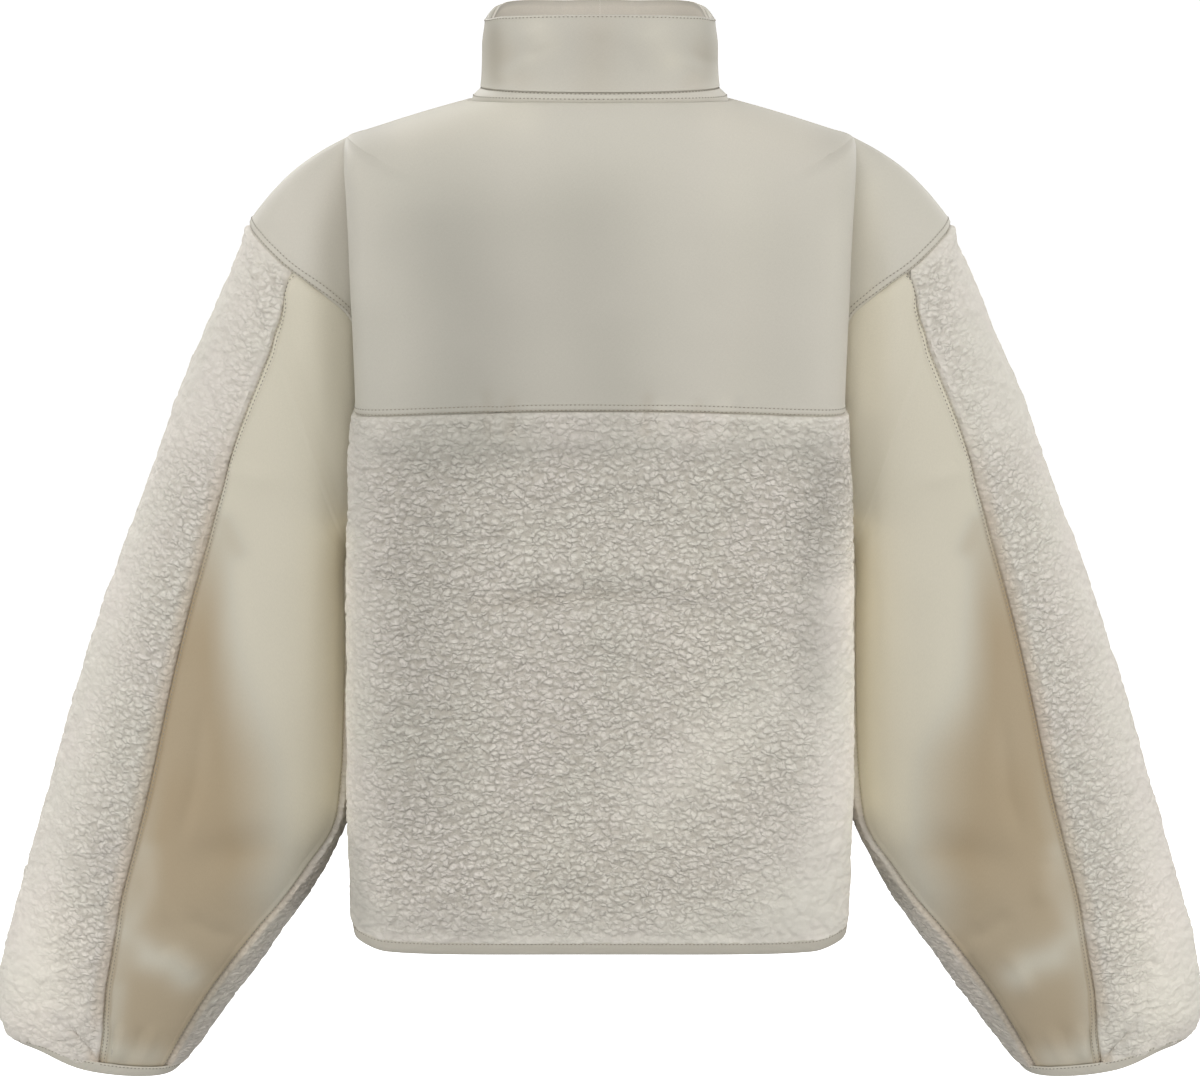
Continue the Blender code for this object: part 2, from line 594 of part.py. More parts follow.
def build_tapes():
    """Zip tapes: a flat strip each side of the centre line, behind the front edges."""
    rows = []
    for ring in np.concatenate([[HEM_RING - 0.55], np.arange(HEM_RING - 1, 0, -1.0)]):
        rows.append(body_front(ring, 0.0))
    rows.append(collar(0.4, 270.0))
    for ring in (1.0, 1.5, 2.0, 2.5, 3.0, 3.5, 3.93):
        rows.append(collar(ring, 270.0))
    rows = np.array(rows)
    along = np.gradient(rows, axis=0)
    back = unit(np.stack([np.zeros(len(rows)), along[:, 2], -along[:, 1]], -1))
    back *= np.sign(back[:, 1:2])
    for side, sign in (("left", 1.0), ("right", -1.0)):
        sections = []
        for point, way in zip(rows, back):
            near = point + way * 0.5 + np.array([0.3 * sign, 0.0, 0.0])
            far = point + way * 2.5 + np.array([TAPE_WIDTH * sign, 0.0, 0.0])
            sections.append([near, near + way * TAPE_WALL, far + way * TAPE_WALL, far])
        swept("zip_tape_%s" % side, sections, "tape", False)


def cut_or_join(target, tool, operation):
    """Exact Boolean of one solid with another, which is kept as a hidden tool."""
    CUTTERS.objects.link(tool)
    tool.hide_render = True
    tool.display_type = "WIRE"
    mod = target.modifiers.new(operation.lower(), "BOOLEAN")
    mod.operation = operation
    mod.solver = "EXACT"
    mod.object = tool


def metal_object(name, bm, centre):
    """Metal object in mm sizes, placed at a point."""
    bmesh.ops.scale(bm, vec=Vector((MM, MM, MM)), verts=bm.verts)
    mesh = bpy.data.meshes.new(name)
    bm.to_mesh(mesh)
    bm.free()
    mesh.materials.append(material("metal"))
    obj = bpy.data.objects.new(name, mesh)
    obj.location = Vector(centre) * MM
    return obj


def block(name, size, centre, edge):
    """Rounded metal block."""
    bm = bmesh.new()
    bmesh.ops.create_cube(bm, size=1.0)
    bmesh.ops.scale(bm, vec=Vector(size), verts=bm.verts)
    obj = metal_object(name, bm, centre)
    mod = obj.modifiers.new("edges", "BEVEL")
    mod.width = edge * MM
    mod.segments = 2
    return obj


def rod(name, radius, length, centre):
    """Round bar along X."""
    bm = bmesh.new()
    bmesh.ops.create_cone(bm, cap_ends=True, segments=24, radius1=radius, radius2=radius, depth=length)
    obj = metal_object(name, bm, centre)
    obj.rotation_euler = (0.0, math.pi / 2, 0.0)
    return obj


def build_zip_hardware():
    """Slider in the gap between the front edges, and the pull tab that swings on its pin."""
    slider_y = float(collar(3.4, 270.0)[1]) - 2.7
    pivot = Vector((0.0, slider_y - 5.8, PIVOT_Z))
    slider = block("zip_slider", (8.0, 4.4, 12.0), (0.0, slider_y, PIVOT_Z - 1.0), 0.9)
    PARTS.objects.link(slider)
    for name, side in (("ear_left", 2.9), ("ear_right", -2.9)):
        ear = block(name, (1.0, 6.4, 4.4), (side, slider_y - 4.2, PIVOT_Z), 0.3)
        cut_or_join(slider, ear, "UNION")
    cut_or_join(slider, rod("pin", 0.7, 6.2, pivot), "UNION")

    # the tab's own origin lies on the pin, so that it turns about it
    bm = bmesh.new()
    bmesh.ops.create_cube(bm, size=1.0)
    bmesh.ops.scale(bm, vec=Vector((5.8, 1.6, PULL_LENGTH)), verts=bm.verts)
    bmesh.ops.translate(bm, vec=Vector((0.0, 0.0, -2.4 - PULL_LENGTH / 2)), verts=bm.verts)
    bmesh.ops.bevel(bm, geom=bm.edges[:], offset=0.5, segments=2, profile=0.5, affect="EDGES")
    pull = metal_object("zip_pull", bm, pivot)
    PARTS.objects.link(pull)
    cut_or_join(pull, block("neck", (4.0, 1.6, 4.4), pivot - Vector((0.0, 0.0, 3.2)), 0.2), "UNION")
    cut_or_join(pull, rod("eye", 2.1, 4.0, pivot), "UNION")
    cut_or_join(pull, rod("bore", 1.1, 8.0, pivot), "DIFFERENCE")


clear_scene()
PARTS = bpy.data.collections.new("fleece_jacket")
CUTTERS = bpy.data.collections.new("cutters")
bpy.context.scene.collection.children.link(PARTS)
bpy.context.scene.collection.children.link(CUTTERS)
build_yoke()
build_body()
build_sleeves()
build_hem()
build_collar()
build_tapes()
build_zip_hardware()
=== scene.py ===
"""Fleece jacket in its worn shape, seen from behind: cloth panels, pile, bindings, stitching and zip.

Lengths are millimetres until a mesh is made. The front faces -Y, up is +Z, the wearer's left is +X,
and the origin is the middle of the neck opening.
"""
import math

import bpy
import numpy as np
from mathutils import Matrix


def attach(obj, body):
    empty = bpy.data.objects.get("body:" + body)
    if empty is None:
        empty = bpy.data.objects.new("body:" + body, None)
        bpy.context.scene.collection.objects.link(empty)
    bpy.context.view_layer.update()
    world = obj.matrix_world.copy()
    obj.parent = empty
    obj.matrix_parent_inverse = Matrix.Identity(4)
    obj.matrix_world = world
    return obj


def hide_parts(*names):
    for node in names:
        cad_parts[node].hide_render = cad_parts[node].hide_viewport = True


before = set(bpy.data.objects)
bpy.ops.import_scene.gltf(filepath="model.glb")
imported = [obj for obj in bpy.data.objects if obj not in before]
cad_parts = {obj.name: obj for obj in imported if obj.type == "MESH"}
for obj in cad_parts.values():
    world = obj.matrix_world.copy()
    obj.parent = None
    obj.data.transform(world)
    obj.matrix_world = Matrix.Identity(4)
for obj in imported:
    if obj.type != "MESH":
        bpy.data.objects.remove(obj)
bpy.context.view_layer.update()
MM = 0.001


def add_camera():
    """Camera straight behind the jacket, 3.2 m away and looking 10 degrees down."""
    data = bpy.data.cameras.new("camera")
    data.sensor_fit = "HORIZONTAL"
    data.sensor_width = 36.0
    data.lens = 133.33
    data.clip_end = 200.0
    camera = bpy.data.objects.new("camera", data)
    camera.location = (0.0, 3.15138, 0.22976)
    camera.rotation_euler = (math.radians(80.0), 0.0, math.pi)
    bpy.context.scene.collection.objects.link(camera)
    bpy.context.scene.camera = camera


add_camera()

# one row per ring of the sleeve, shoulder to cuff, mm; the columns are outer_x, outer_z, inner_x and
# inner_z (its two edge points), middle_y, and the half depths back_y and front_y
SLEEVE = np.array([
    (176.0, -35.5, 168.0, -330.0, 0.0, 38.0, 38.0),
    (196.5, -46.5, 171.0, -329.5, 0.0, 46.0, 41.0),
    (216.5, -60.6, 174.0, -329.5, -1.0, 52.0, 44.0),
    (236.7, -81.4, 177.0, -330.5, -2.0, 56.5, 47.0),
    (247.3, -96.6, 179.5, -332.5, -2.0, 59.0, 49.5),
    (250.8, -111.5, 181.5, -335.5, -3.0, 60.5, 51.5),
    (262.4, -139.0, 183.0, -341.0, -3.0, 61.5, 53.5),
    (278.5, -175.0, 183.5, -348.0, -4.0, 62.0, 55.5),
    (300.2, -225.6, 183.0, -358.0, -5.0, 62.0, 57.5),
    (321.0, -284.0, 182.0, -376.0, -6.0, 62.0, 59.0),
    (343.8, -342.8, 181.5, -418.0, -8.0, 62.0, 60.0),
    (364.7, -402.0, 182.0, -470.0, -10.0, 61.0, 60.0),
    (383.4, -462.0, 186.0, -523.0, -13.0, 60.0, 59.0),
    (401.2, -522.0, 204.0, -566.0, -16.0, 58.0, 57.0),
    (419.8, -584.0, 227.5, -603.0, -19.0, 56.0, 55.0),
    (431.5, -624.0, 248.0, -633.0, -21.0, 53.0, 52.0),
    (438.2, -655.0, 269.5, -662.0, -23.0, 49.0, 48.0),
    (440.0, -679.0, 287.5, -687.0, -25.0, 45.0, 44.0),
    (436.0, -694.0, 303.0, -707.0, -26.0, 41.0, 40.5),
    (427.5, -702.5, 315.0, -720.5, -26.0, 38.0, 38.0),
])
CUFF_RING = len(SLEEVE) - 1
CUFF_DROP = 5.0         # the back of the cuff hangs this much lower
CUFF_CORNER = 7.5       # the cuff rises this much to its outer corner
CUFF_CORNER_X = 412.0   # where that corner is
HEM_CORNER = 5.5        # the hem rises this much at the side seams

# armhole: angle round the sleeve (0 shoulder tip, 180 underarm) of each body ring that meets it
ARM_PHI = np.array([0.0, 14.0, 28.0, 42.0, 56.0, 70.0, 84.0, 106.0, 125.0, 144.0, 162.0, 180.0])

# one row per ring of the body, neck to hem, mm; the columns are back_z and back_y (centre back), side_x
# and side_z (side point; on rings 5 to 14 it lies on the armhole instead), wide_x and wide_y (widest
# point of the back), front_z and front_y (centre front), and square (how square the back's section is)
BODY = np.array([
    (-6.0, 63.0, 90.0, -9.5, 90.4, 5.0, -32.0, -80.0, 2.1),
    (-22.0, 76.0, 112.0, -15.5, 112.4, 6.0, -58.0, -92.0, 2.15),
    (-38.0, 85.0, 134.0, -22.0, 134.5, 6.0, -80.0, -100.0, 2.2),
    (-56.0, 92.0, 155.0, -28.7, 155.6, 7.0, -102.0, -106.0, 2.3),
    (-76.0, 97.0, 176.0, -35.5, 177.0, 8.0, -122.0, -109.0, 2.45),
    (-92.0, 100.0, 0.0, 0.0, 178.2, 24.0, -134.0, -110.5, 2.6),
    (-108.0, 102.5, 0.0, 0.0, 177.6, 37.0, -146.0, -111.5, 2.8),
    (-126.0, 105.0, 0.0, 0.0, 176.4, 46.0, -158.0, -112.5, 3.0),
    (-146.0, 107.0, 0.0, 0.0, 175.2, 52.0, -171.0, -113.5, 3.15),
    (-168.0, 108.5, 0.0, 0.0, 173.8, 56.0, -186.0, -114.5, 3.3),
    (-190.0, 109.5, 0.0, 0.0, 172.0, 57.0, -202.0, -115.0, 3.4),
    (-216.0, 110.0, 0.0, 0.0, 170.2, 58.0, -224.0, -115.5, 3.5),
    (-262.0, 110.5, 0.0, 0.0, 172.6, 58.0, -264.0, -115.5, 3.5),
    (-300.0, 110.0, 0.0, 0.0, 173.6, 57.0, -300.0, -115.0, 3.5),
    (-328.0, 110.0, 0.0, 0.0, 174.2, 55.0, -328.0, -114.5, 3.5),
    (-350.0, 109.5, 168.0, -330.0, 174.6, 53.0, -350.0, -114.0, 3.5),
    (-382.0, 109.0, 169.5, -378.0, 175.0, 50.0, -382.0, -113.5, 3.5),
    (-418.0, 108.0, 170.5, -418.0, 175.5, 48.0, -418.0, -112.5, 3.5),
    (-455.0, 107.0, 171.5, -455.0, 175.9, 46.0, -455.0, -111.5, 3.5),
    (-492.0, 106.0, 172.0, -492.0, 176.2, 45.0, -492.0, -110.5, 3.5),
    (-526.0, 105.0, 172.0, -527.0, 176.2, 45.0, -526.0, -109.5, 3.45),
    (-556.0, 104.0, 171.5, -557.0, 175.6, 45.0, -555.0, -108.5, 3.4),
    (-581.0, 103.0, 170.0, -583.0, 174.6, 44.0, -579.0, -107.5, 3.4),
    (-603.5, 102.0, 167.5, -606.0, 172.6, 43.0, -601.5, -106.5, 3.4),
])
SHOULDER_RING = 4
YOKE_RING = 11
UNDERARM_RING = 15
HEM_RING = len(BODY) - 1
FRONT_OPEN = 0.22       # how openly the front meets the armhole
WALL_SHARE = 0.84       # share of a back ring before it turns in beside the sleeve

# seams on the sleeve: ring number against angle
ARM_SEAM_PHI = (0.0, 18.0, 32.0, 47.0, 56.0, 64.0, 72.5, 78.0, 84.0)
ARM_SEAM_RING = (4.15, 3.95, 3.57, 2.95, 2.52, 2.0, 1.2, 0.55, 0.0)
OUTER_SEAM_RING = (2.52, 3.0, 3.7, 5.3, 7.3, 8.3, 11.0, 12.0, 12.9, 13.7, 14.5, 15.6, 16.5, 17.5, 19.0)
OUTER_SEAM_PHI = (56.0, 62.0, 67.0, 68.0, 69.5, 72.0, 72.0, 72.5, 74.5, 77.0, 81.0, 85.5, 89.0, 91.5, 93.0)
UNDER_SEAM_RING = (0.0, 12.2, 13.0, 13.6, 14.2, 14.8, 15.5, 16.2, 17.0, 18.0, 19.0)
UNDER_SEAM_PHI = (162.0, 160.0, 152.0, 147.6, 142.5, 139.8, 138.0, 137.6, 138.4, 141.5, 145.0)

# one row per ring of the collar, neck to top, mm: half_x, back_y, front_y, back_z, side_z, front_z
COLLAR = np.array([
    (90.0, 63.0, -80.0, -6.0, -9.5, -32.0),
    (81.3, 61.0, -77.0, 0.3, 0.2, -25.5),
    (80.2, 59.0, -78.0, 16.0, 13.0, -5.0),
    (79.9, 57.5, -79.5, 34.0, 29.0, 20.0),
    (80.0, 57.0, -81.0, 54.0, 50.0, 56.0),
])
COLLAR_SQUARE = 2.1
SEAM_FALL = 2.4         # power by which a ring's height runs from its middle to its side

# rows and columns of each panel's grid of points; the body's columns cover one half
BACK_GRID = (281, 157)
FRONT_GRID = (225, 137)
SLEEVE_PILE_GRID = (361, 185)
SLEEVE_BACK_GRID = (225, 73)
YOKE_ROWS = (41, 73, 25)        # neck to shoulder, beside the wings, down to the back panel
YOKE_BACK_COLUMNS = 77
YOKE_FRONT_COLUMNS = 65
WING_ROWS = 29
COLLAR_GRID = (46, 321)
BAND_ROWS = 13
HALF_HEM_POINTS = 121
CUFF_POINTS = 180
TAPE_POINTS = 301
TEETH = 400                     # places for a tooth up the centre front, 1.6 mm apart
INNER_STEP = 8                  # the inner face keeps every eighth line of the grid
PANEL_TOP = YOKE_RING - 0.004   # the body's pile panels start a hair above the yoke's seam


def through(xs, ys, at):
    """Cubic through the rows of a table, its slopes limited so that it never overshoots."""
    xs = np.asarray(xs, float)
    ys = np.asarray(ys, float)
    at = np.clip(np.asarray(at, float), xs[0], xs[-1])
    step = np.diff(xs)
    rise = np.diff(ys) / step
    slope = np.zeros_like(ys)
    slope[0] = rise[0]
    slope[-1] = rise[-1]
    if len(xs) > 2:
        same = rise[:-1] * rise[1:] > 0
        left = np.where(same, rise[:-1], 1.0)
        right = np.where(same, rise[1:], 1.0)
        w1 = 2 * step[1:] + step[:-1]
        w2 = step[1:] + 2 * step[:-1]
        slope[1:-1] = np.where(same, (w1 + w2) / (w1 / left + w2 / right), 0.0)
    k = np.clip(np.searchsorted(xs, at, side="right") - 1, 0, len(xs) - 2)
    u = (at - xs[k]) / step[k]
    low = (1 + 2 * u) * (1 - u) ** 2 * ys[k] + u * (1 - u) ** 2 * step[k] * slope[k]
    high = u * u * (3 - 2 * u) * ys[k + 1] + u * u * (u - 1) * step[k] * slope[k + 1]
    return low + high


def columns(table, at):
    """All columns of a table at the given ring numbers."""
    rows = np.arange(len(table), dtype=float)
    return [through(rows, table[:, k], at) for k in range(table.shape[1])]


def power(value, square):
    """Cosine or sine of a rounded square: 2 is an ellipse, more is squarer."""
    return np.sign(value) * np.abs(value) ** (2.0 / square)


def sleeve(ring, phi):
    """Point of the left sleeve: ring number down the arm, angle round it from the outer edge."""
    ring, phi = np.broadcast_arrays(np.asarray(ring, float), np.radians(np.asarray(phi, float)))
    outer_x, outer_z, inner_x, inner_z, middle_y, back_y, front_y = columns(SLEEVE, ring)
    square = 2.0 + 0.3 * np.clip(ring / 8.0, 0.0, 1.0)
    across = power(np.cos(phi), square)
    deep = power(np.sin(phi), square)
    x = (outer_x + inner_x) / 2 + (outer_x - inner_x) / 2 * across
    z = (outer_z + inner_z) / 2 + (outer_z - inner_z) / 2 * across
    z = z - CUFF_DROP * np.clip((ring - 15.0) / 4.0, 0.0, 1.0) * deep
    z = z + CUFF_CORNER * np.exp(-((x - CUFF_CORNER_X) / 22.0) ** 2) * ease(ring, 16.0, CUFF_RING)
    return np.stack([x, middle_y + np.where(deep > 0, back_y, front_y) * deep, z], -1)


def side_points(ring, front):
    """Where a body ring ends: on the shoulder line, on the armhole, or at the side seam."""
    rows = np.arange(len(BODY), dtype=float)
    arm = np.interp(ring, np.arange(SHOULDER_RING, UNDERARM_RING + 1), ARM_PHI)
    hole = sleeve(0.0, -arm if front else arm)

    def sides(part, at):
        side_x, side_z = (through(rows[part], BODY[part, column], at) for column in (2, 3))
        return np.stack([side_x, np.zeros_like(ring), side_z], -1)

    above = sides(slice(0, SHOULDER_RING + 1), np.minimum(ring, SHOULDER_RING))
    below = sides(slice(UNDERARM_RING, None), np.maximum(ring, UNDERARM_RING))
    points = np.where((ring > UNDERARM_RING)[..., None], below, hole)
    return np.where((ring < SHOULDER_RING)[..., None], above, points)


def hem_rise(ring, x):
    """How far the hem curves up towards the side seams."""
    return HEM_CORNER * ease(np.abs(x), 150.0, 178.0) * ease(ring, HEM_RING - 1.0, HEM_RING)


def body_back(ring, t):
    """Point of the left half of the back: t is 0 at the centre line and 1 at the side."""
    ring, t = np.broadcast_arrays(np.asarray(ring, float), np.asarray(t, float))
    back_z, back_y, _, _, wide_x, wide_y, _, _, square = columns(BODY, ring)
    end = side_points(ring, False)
    angle = np.clip(t / WALL_SHARE, 0.0, 1.0) * math.pi / 2
    turn = np.clip((t - WALL_SHARE) / (1.0 - WALL_SHARE), 0.0, 1.0)
    x = wide_x * power(np.sin(angle), square) - (wide_x - end[..., 0]) * turn * turn
    y = wide_y + (back_y - wide_y) * power(np.cos(angle), square) - (wide_y - end[..., 1]) * turn
    share = np.where(turn > 0, 1.0, np.clip(x / wide_x, 0.0, 1.0) ** SEAM_FALL)
    return np.stack([x, y, back_z + (end[..., 2] - back_z) * share + hem_rise(ring, x)], -1)


def body_front(ring, t):
    """Point of the left half of the front: t is 0 at the centre line and 1 at the side."""
    ring, t = np.broadcast_arrays(np.asarray(ring, float), np.asarray(t, float))
    _, _, _, _, _, _, front_z, front_y, _ = columns(BODY, ring)
    end = side_points(ring, True)
    square = 2.2 + 0.5 * np.clip(ring / 10.0, 0.0, 1.0)
    beside = np.clip((ring - SHOULDER_RING) / 2.0, 0.0, 1.0) * np.clip((17.0 - ring) / 2.0, 0.0, 1.0)
    last = math.pi / 2 * (1.0 - FRONT_OPEN * beside)
    x = end[..., 0] * power(np.sin(t * last), square) / power(np.sin(last), square)
    least = power(np.cos(last), square) * (beside > 0)
    y = end[..., 1] + (front_y - end[..., 1]) * (power(np.cos(t * last), square) - least) / (1.0 - least)
    share = np.abs(x / end[..., 0]) ** SEAM_FALL
    return np.stack([x, y, front_z + (end[..., 2] - front_z) * share + hem_rise(ring, x)], -1)


def collar(ring, angle):
    """Point of the collar: angle 0 at the left side, 90 at the back, 270 at the front."""
    ring, angle = np.broadcast_arrays(np.asarray(ring, float), np.radians(np.asarray(angle, float)))
    half_x, back_y, front_y, back_z, side_z, front_z = columns(COLLAR, ring)
    across = power(np.cos(angle), COLLAR_SQUARE)
    deep = power(np.sin(angle), COLLAR_SQUARE)
    y = np.where(deep > 0, back_y, -front_y) * deep
    share = np.abs(across) ** SEAM_FALL
    middle_z = np.where(deep > 0, back_z, front_z)
    return np.stack([half_x * across, y, middle_z + (side_z - middle_z) * share], -1)


def arm_seam(phi):
    """Ring number where the armhole seam crosses the given angle of the sleeve."""
    return through(ARM_SEAM_PHI, ARM_SEAM_RING, np.minimum(np.abs(phi), ARM_SEAM_PHI[-1]))


def mirror(points):
    """Points with left and right changed over."""
    return points * np.array([-1.0, 1.0, 1.0])


def unit(ways):
    """Ways at length 1."""
    return ways / np.maximum(np.linalg.norm(ways, axis=-1, keepdims=True), 1e-9)


def run_of(line):
    """Distance of each point of a line from its first point, measured along the line."""
    return np.concatenate([[0.0], np.cumsum(np.linalg.norm(np.diff(line, axis=0), axis=1))])


def at_runs(at, run, line):
    """Points, or ways, of a line at the given distances along it."""
    return np.stack([np.interp(at, run, line[:, k]) for k in range(line.shape[1])], -1)


def ease(x, low, high):
    """Smooth step from 0 at low to 1 at high: 3u^2 - 2u^3."""
    u = np.clip((np.asarray(x, float) - low) / (high - low), 0.0, 1.0)
    return u * u * (3.0 - 2.0 * u)


def rolled(distance, radius):
    """Quarter ellipse: 0 at an edge, 1 from one radius inside it."""
    return np.sqrt(1.0 - (1.0 - np.clip(distance / radius, 0.0, 1.0)) ** 2)


def chance(i, j, k, seed):
    """Number from 0 to 1 that belongs to a lattice point: the fraction of a large sine."""
    value = np.sin(i * 127.1 + j * 311.7 + k * 74.7 + seed * 19.19) * 43758.5453
    return value - np.floor(value)


def drift(points, size, seed):
    """Soft noise from 0 to 1: lattice numbers blended by smooth steps along the three axes."""
    p = points / size
    base = np.floor(p)
    f = p - base
    f = f * f * (3.0 - 2.0 * f)
    total = 0.0
    for a in (0, 1):
        for b in (0, 1):
            for c in (0, 1):
                weight = (np.abs(1 - a - f[..., 0]) * np.abs(1 - b - f[..., 1])
                          * np.abs(1 - c - f[..., 2]))
                total = total + weight * chance(base[..., 0] + a, base[..., 1] + b, base[..., 2] + c, seed)
    return total


def curls(points, down, seed):
    """Curly pile from 0 in the grooves to 1 on the tops.

    Each clump is a dome round a jittered lattice point, longer across than along the way down;
    a groove runs where the two nearest points are equally far, and some grooves are filled so that
    clumps join into short worms.
    """
    down = unit(np.asarray(down, float))
    front = np.array([0.0, 1.0, 0.0])
    across = np.cross(down, front)
    p = points @ np.stack([across / CLUMP_WIDE, front / CLUMP_WIDE, down / CLUMP_HIGH], -1)
    bend = np.stack([drift(points, 9.0, seed + k) for k in (1, 2, 3)], -1)
    p = p + (bend - 0.5) * 1.1
    base = np.floor(p)
    first = np.full(p.shape[:-1], 9.0)
    second = np.full(p.shape[:-1], 9.0)
    name = np.zeros(p.shape[:-1])
    other = np.zeros(p.shape[:-1])
    for a in (-1, 0, 1):
        for b in (-1, 0, 1):
            for c in (-1, 0, 1):
                i, j, k = base[..., 0] + a, base[..., 1] + b, base[..., 2] + c
                mark = chance(i, j, k, seed)
                x = i + 0.5 + 0.9 * (mark - 0.5)
                y = j + 0.5 + 0.9 * (chance(i, j, k, seed + 5) - 0.5)
                z = k + 0.5 + 0.9 * (chance(i, j, k, seed + 9) - 0.5)
                away = np.sqrt((p[..., 0] - x) ** 2 + (p[..., 1] - y) ** 2 + (p[..., 2] - z) ** 2)
                nearest = away < first
                nearer = away < second
                second = np.where(nearest, first, np.where(nearer, away, second))
                other = np.where(nearest, name, np.where(nearer, mark, other))
                name = np.where(nearest, mark, name)
                first = np.where(nearest, away, first)
    pair = name + other
    pair = np.abs(pair * 17.3 - np.floor(pair * 17.3))
    groove = (1.0 - ease(second - first, 0.0, 0.34)) * ease(pair, 0.05, 0.55)
    dome = (1.0 - 0.5 * np.minimum(first, 1.0) ** 2) * (0.78 + 0.22 * name)
    return np.clip(dome - 0.72 * groove, 0.0, 1.0)


def spread(surface, rows, start, end, count):
    """Second parameters that put points at equal steps over a surface, for each row of it."""
    dense = start + (end - start) * np.linspace(0.0, 1.0, 2401) ** 1.6
    rows = np.asarray(rows, float)
    length = steps(surface(rows[:, None], dense[None, :]), 1)
    places = np.stack([np.interp(np.linspace(0.0, line[-1], count), line, dense) for line in length])
    places[:, 0], places[:, -1] = start, end
    return places


def even(surface, rows, start, end, count):
    """Grid of points on a surface, each row from start to end in steps of equal length."""
    return surface(np.asarray(rows, float)[:, None], spread(surface, rows, start, end, count))


def even_rows(heights, low, high, count):
    """Row numbers from low to high whose heights, a column of a table, are evenly spaced."""
    dense = np.linspace(low, high, 800)
    level = through(np.arange(len(heights)), heights, dense)
    return np.interp(np.linspace(level[0], level[-1], count), level[::-1], dense[::-1])


def steps(grid, axis):
    """Distance from the first row or column of a grid, measured over the surface."""
    length = np.cumsum(np.linalg.norm(np.diff(grid, axis=axis), axis=-1), axis=axis)
    first = np.zeros_like(np.take(grid[..., 0], [0], axis=axis))
    return np.concatenate([first, length], axis=axis)


def edge_distances(grid):
    """Distances over the surface from the top, bottom, left and right edges of a grid."""
    down, across = steps(grid, 0), steps(grid, 1)
    return down, down[-1:] - down, across, across[:, -1:] - across


def grid_normals(grids, turns):
    """Normals of joined grids: cell normals summed at every shared point."""
    flat = np.concatenate([g.reshape(-1, 3) for g in grids])
    _, place = np.unique(np.round(flat / 0.01 + 0.137).astype(np.int64), axis=0, return_inverse=True)
    place = place.reshape(-1)
    total = np.zeros((place.max() + 1, 3))
    start = 0
    for grid, turn in zip(grids, turns):
        rows, cols = grid.shape[:2]
        number = place[start:start + rows * cols].reshape(rows, cols)
        cell = np.cross(grid[1:, 1:] - grid[:-1, :-1], grid[:-1, 1:] - grid[1:, :-1]) * turn
        for corner in (number[:-1, :-1], number[1:, :-1], number[1:, 1:], number[:-1, 1:]):
            for axis in range(3):
                total[:, axis] += np.bincount(corner.reshape(-1), cell[..., axis].reshape(-1), len(total))
        start += rows * cols
    whole = unit(total)[place]
    out, start = [], 0
    for grid in grids:
        size = grid.shape[0] * grid.shape[1]
        out.append(whole[start:start + size].reshape(grid.shape))
        start += size
    return out


def normals_of(grid, turn):
    """Normals of a single grid."""
    return grid_normals([grid], [turn])[0]


def turn_of(grid, centre):
    """1 if the diagonals' cross product of a grid's cells points away from the centre, else -1."""
    cell = np.cross(grid[1:, 1:] - grid[:-1, :-1], grid[:-1, 1:] - grid[1:, :-1])
    middle = (grid[1:, 1:] + grid[:-1, :-1]) / 2
    return 1.0 if np.sum(cell * (middle - centre)) > 0 else -1.0


def add_mesh(name, points, corners, sizes, finishes, uv=None, finish_of=None, marks=None, sharp=75.0):
    """Mesh object from corner numbers and the number of corners of each face."""
    mesh = bpy.data.meshes.new(name)
    mesh.vertices.add(len(points))
    mesh.vertices.foreach_set("co", (np.asarray(points, float) * MM).astype(np.float32).reshape(-1))
    mesh.loops.add(len(corners))
    mesh.loops.foreach_set("vertex_index", np.asarray(corners, np.int32))
    mesh.polygons.add(len(sizes))
    starts = np.concatenate([[0], np.cumsum(sizes)[:-1]]).astype(np.int32)
    mesh.polygons.foreach_set("loop_start", starts)
    if finish_of is not None:
        mesh.polygons.foreach_set("material_index", np.asarray(finish_of, np.int32))
    for finish in finishes:
        mesh.materials.append(finish)
    if uv is not None:
        layer = mesh.uv_layers.new(name="cloth")
        layer.data.foreach_set("uv", (np.asarray(uv, float) * MM).astype(np.float32).reshape(-1))
    for mark, values in (marks or {}).items():
        layer = mesh.attributes.new(mark, "FLOAT", "POINT")
        layer.data.foreach_set("value", np.asarray(values, np.float32))
    mesh.update(calc_edges=True)
    mesh.validate()
    mesh.shade_smooth()
    mesh.set_sharp_from_angle(angle=math.radians(sharp))
    obj = bpy.data.objects.new(name, mesh)
    bpy.context.scene.collection.objects.link(obj)
    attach(obj, "jacket")
    return obj


def inner_faces(number, step):
    """Faces of the inner side: every step-th line of a grid, with all the points of its border."""
    rows, cols = number.shape
    faces = []
    for a in range(0, rows - 1, step):
        b_end = a + step
        for c in range(0, cols - 1, step):
            d_end = c + step
            top = number[a, c:d_end] if a == 0 else number[a, c:c + 1]
            right = number[a:b_end, d_end] if d_end == cols - 1 else number[a:a + 1, d_end]
            low = number[b_end, d_end:c:-1] if b_end == rows - 1 else number[b_end, d_end:d_end + 1]
            left = number[b_end:a:-1, c] if c == 0 else number[b_end:b_end + 1, c]
            ring = np.concatenate([top, right, low, left])
            faces.append(ring[ring != np.roll(ring, 1)])
    return faces


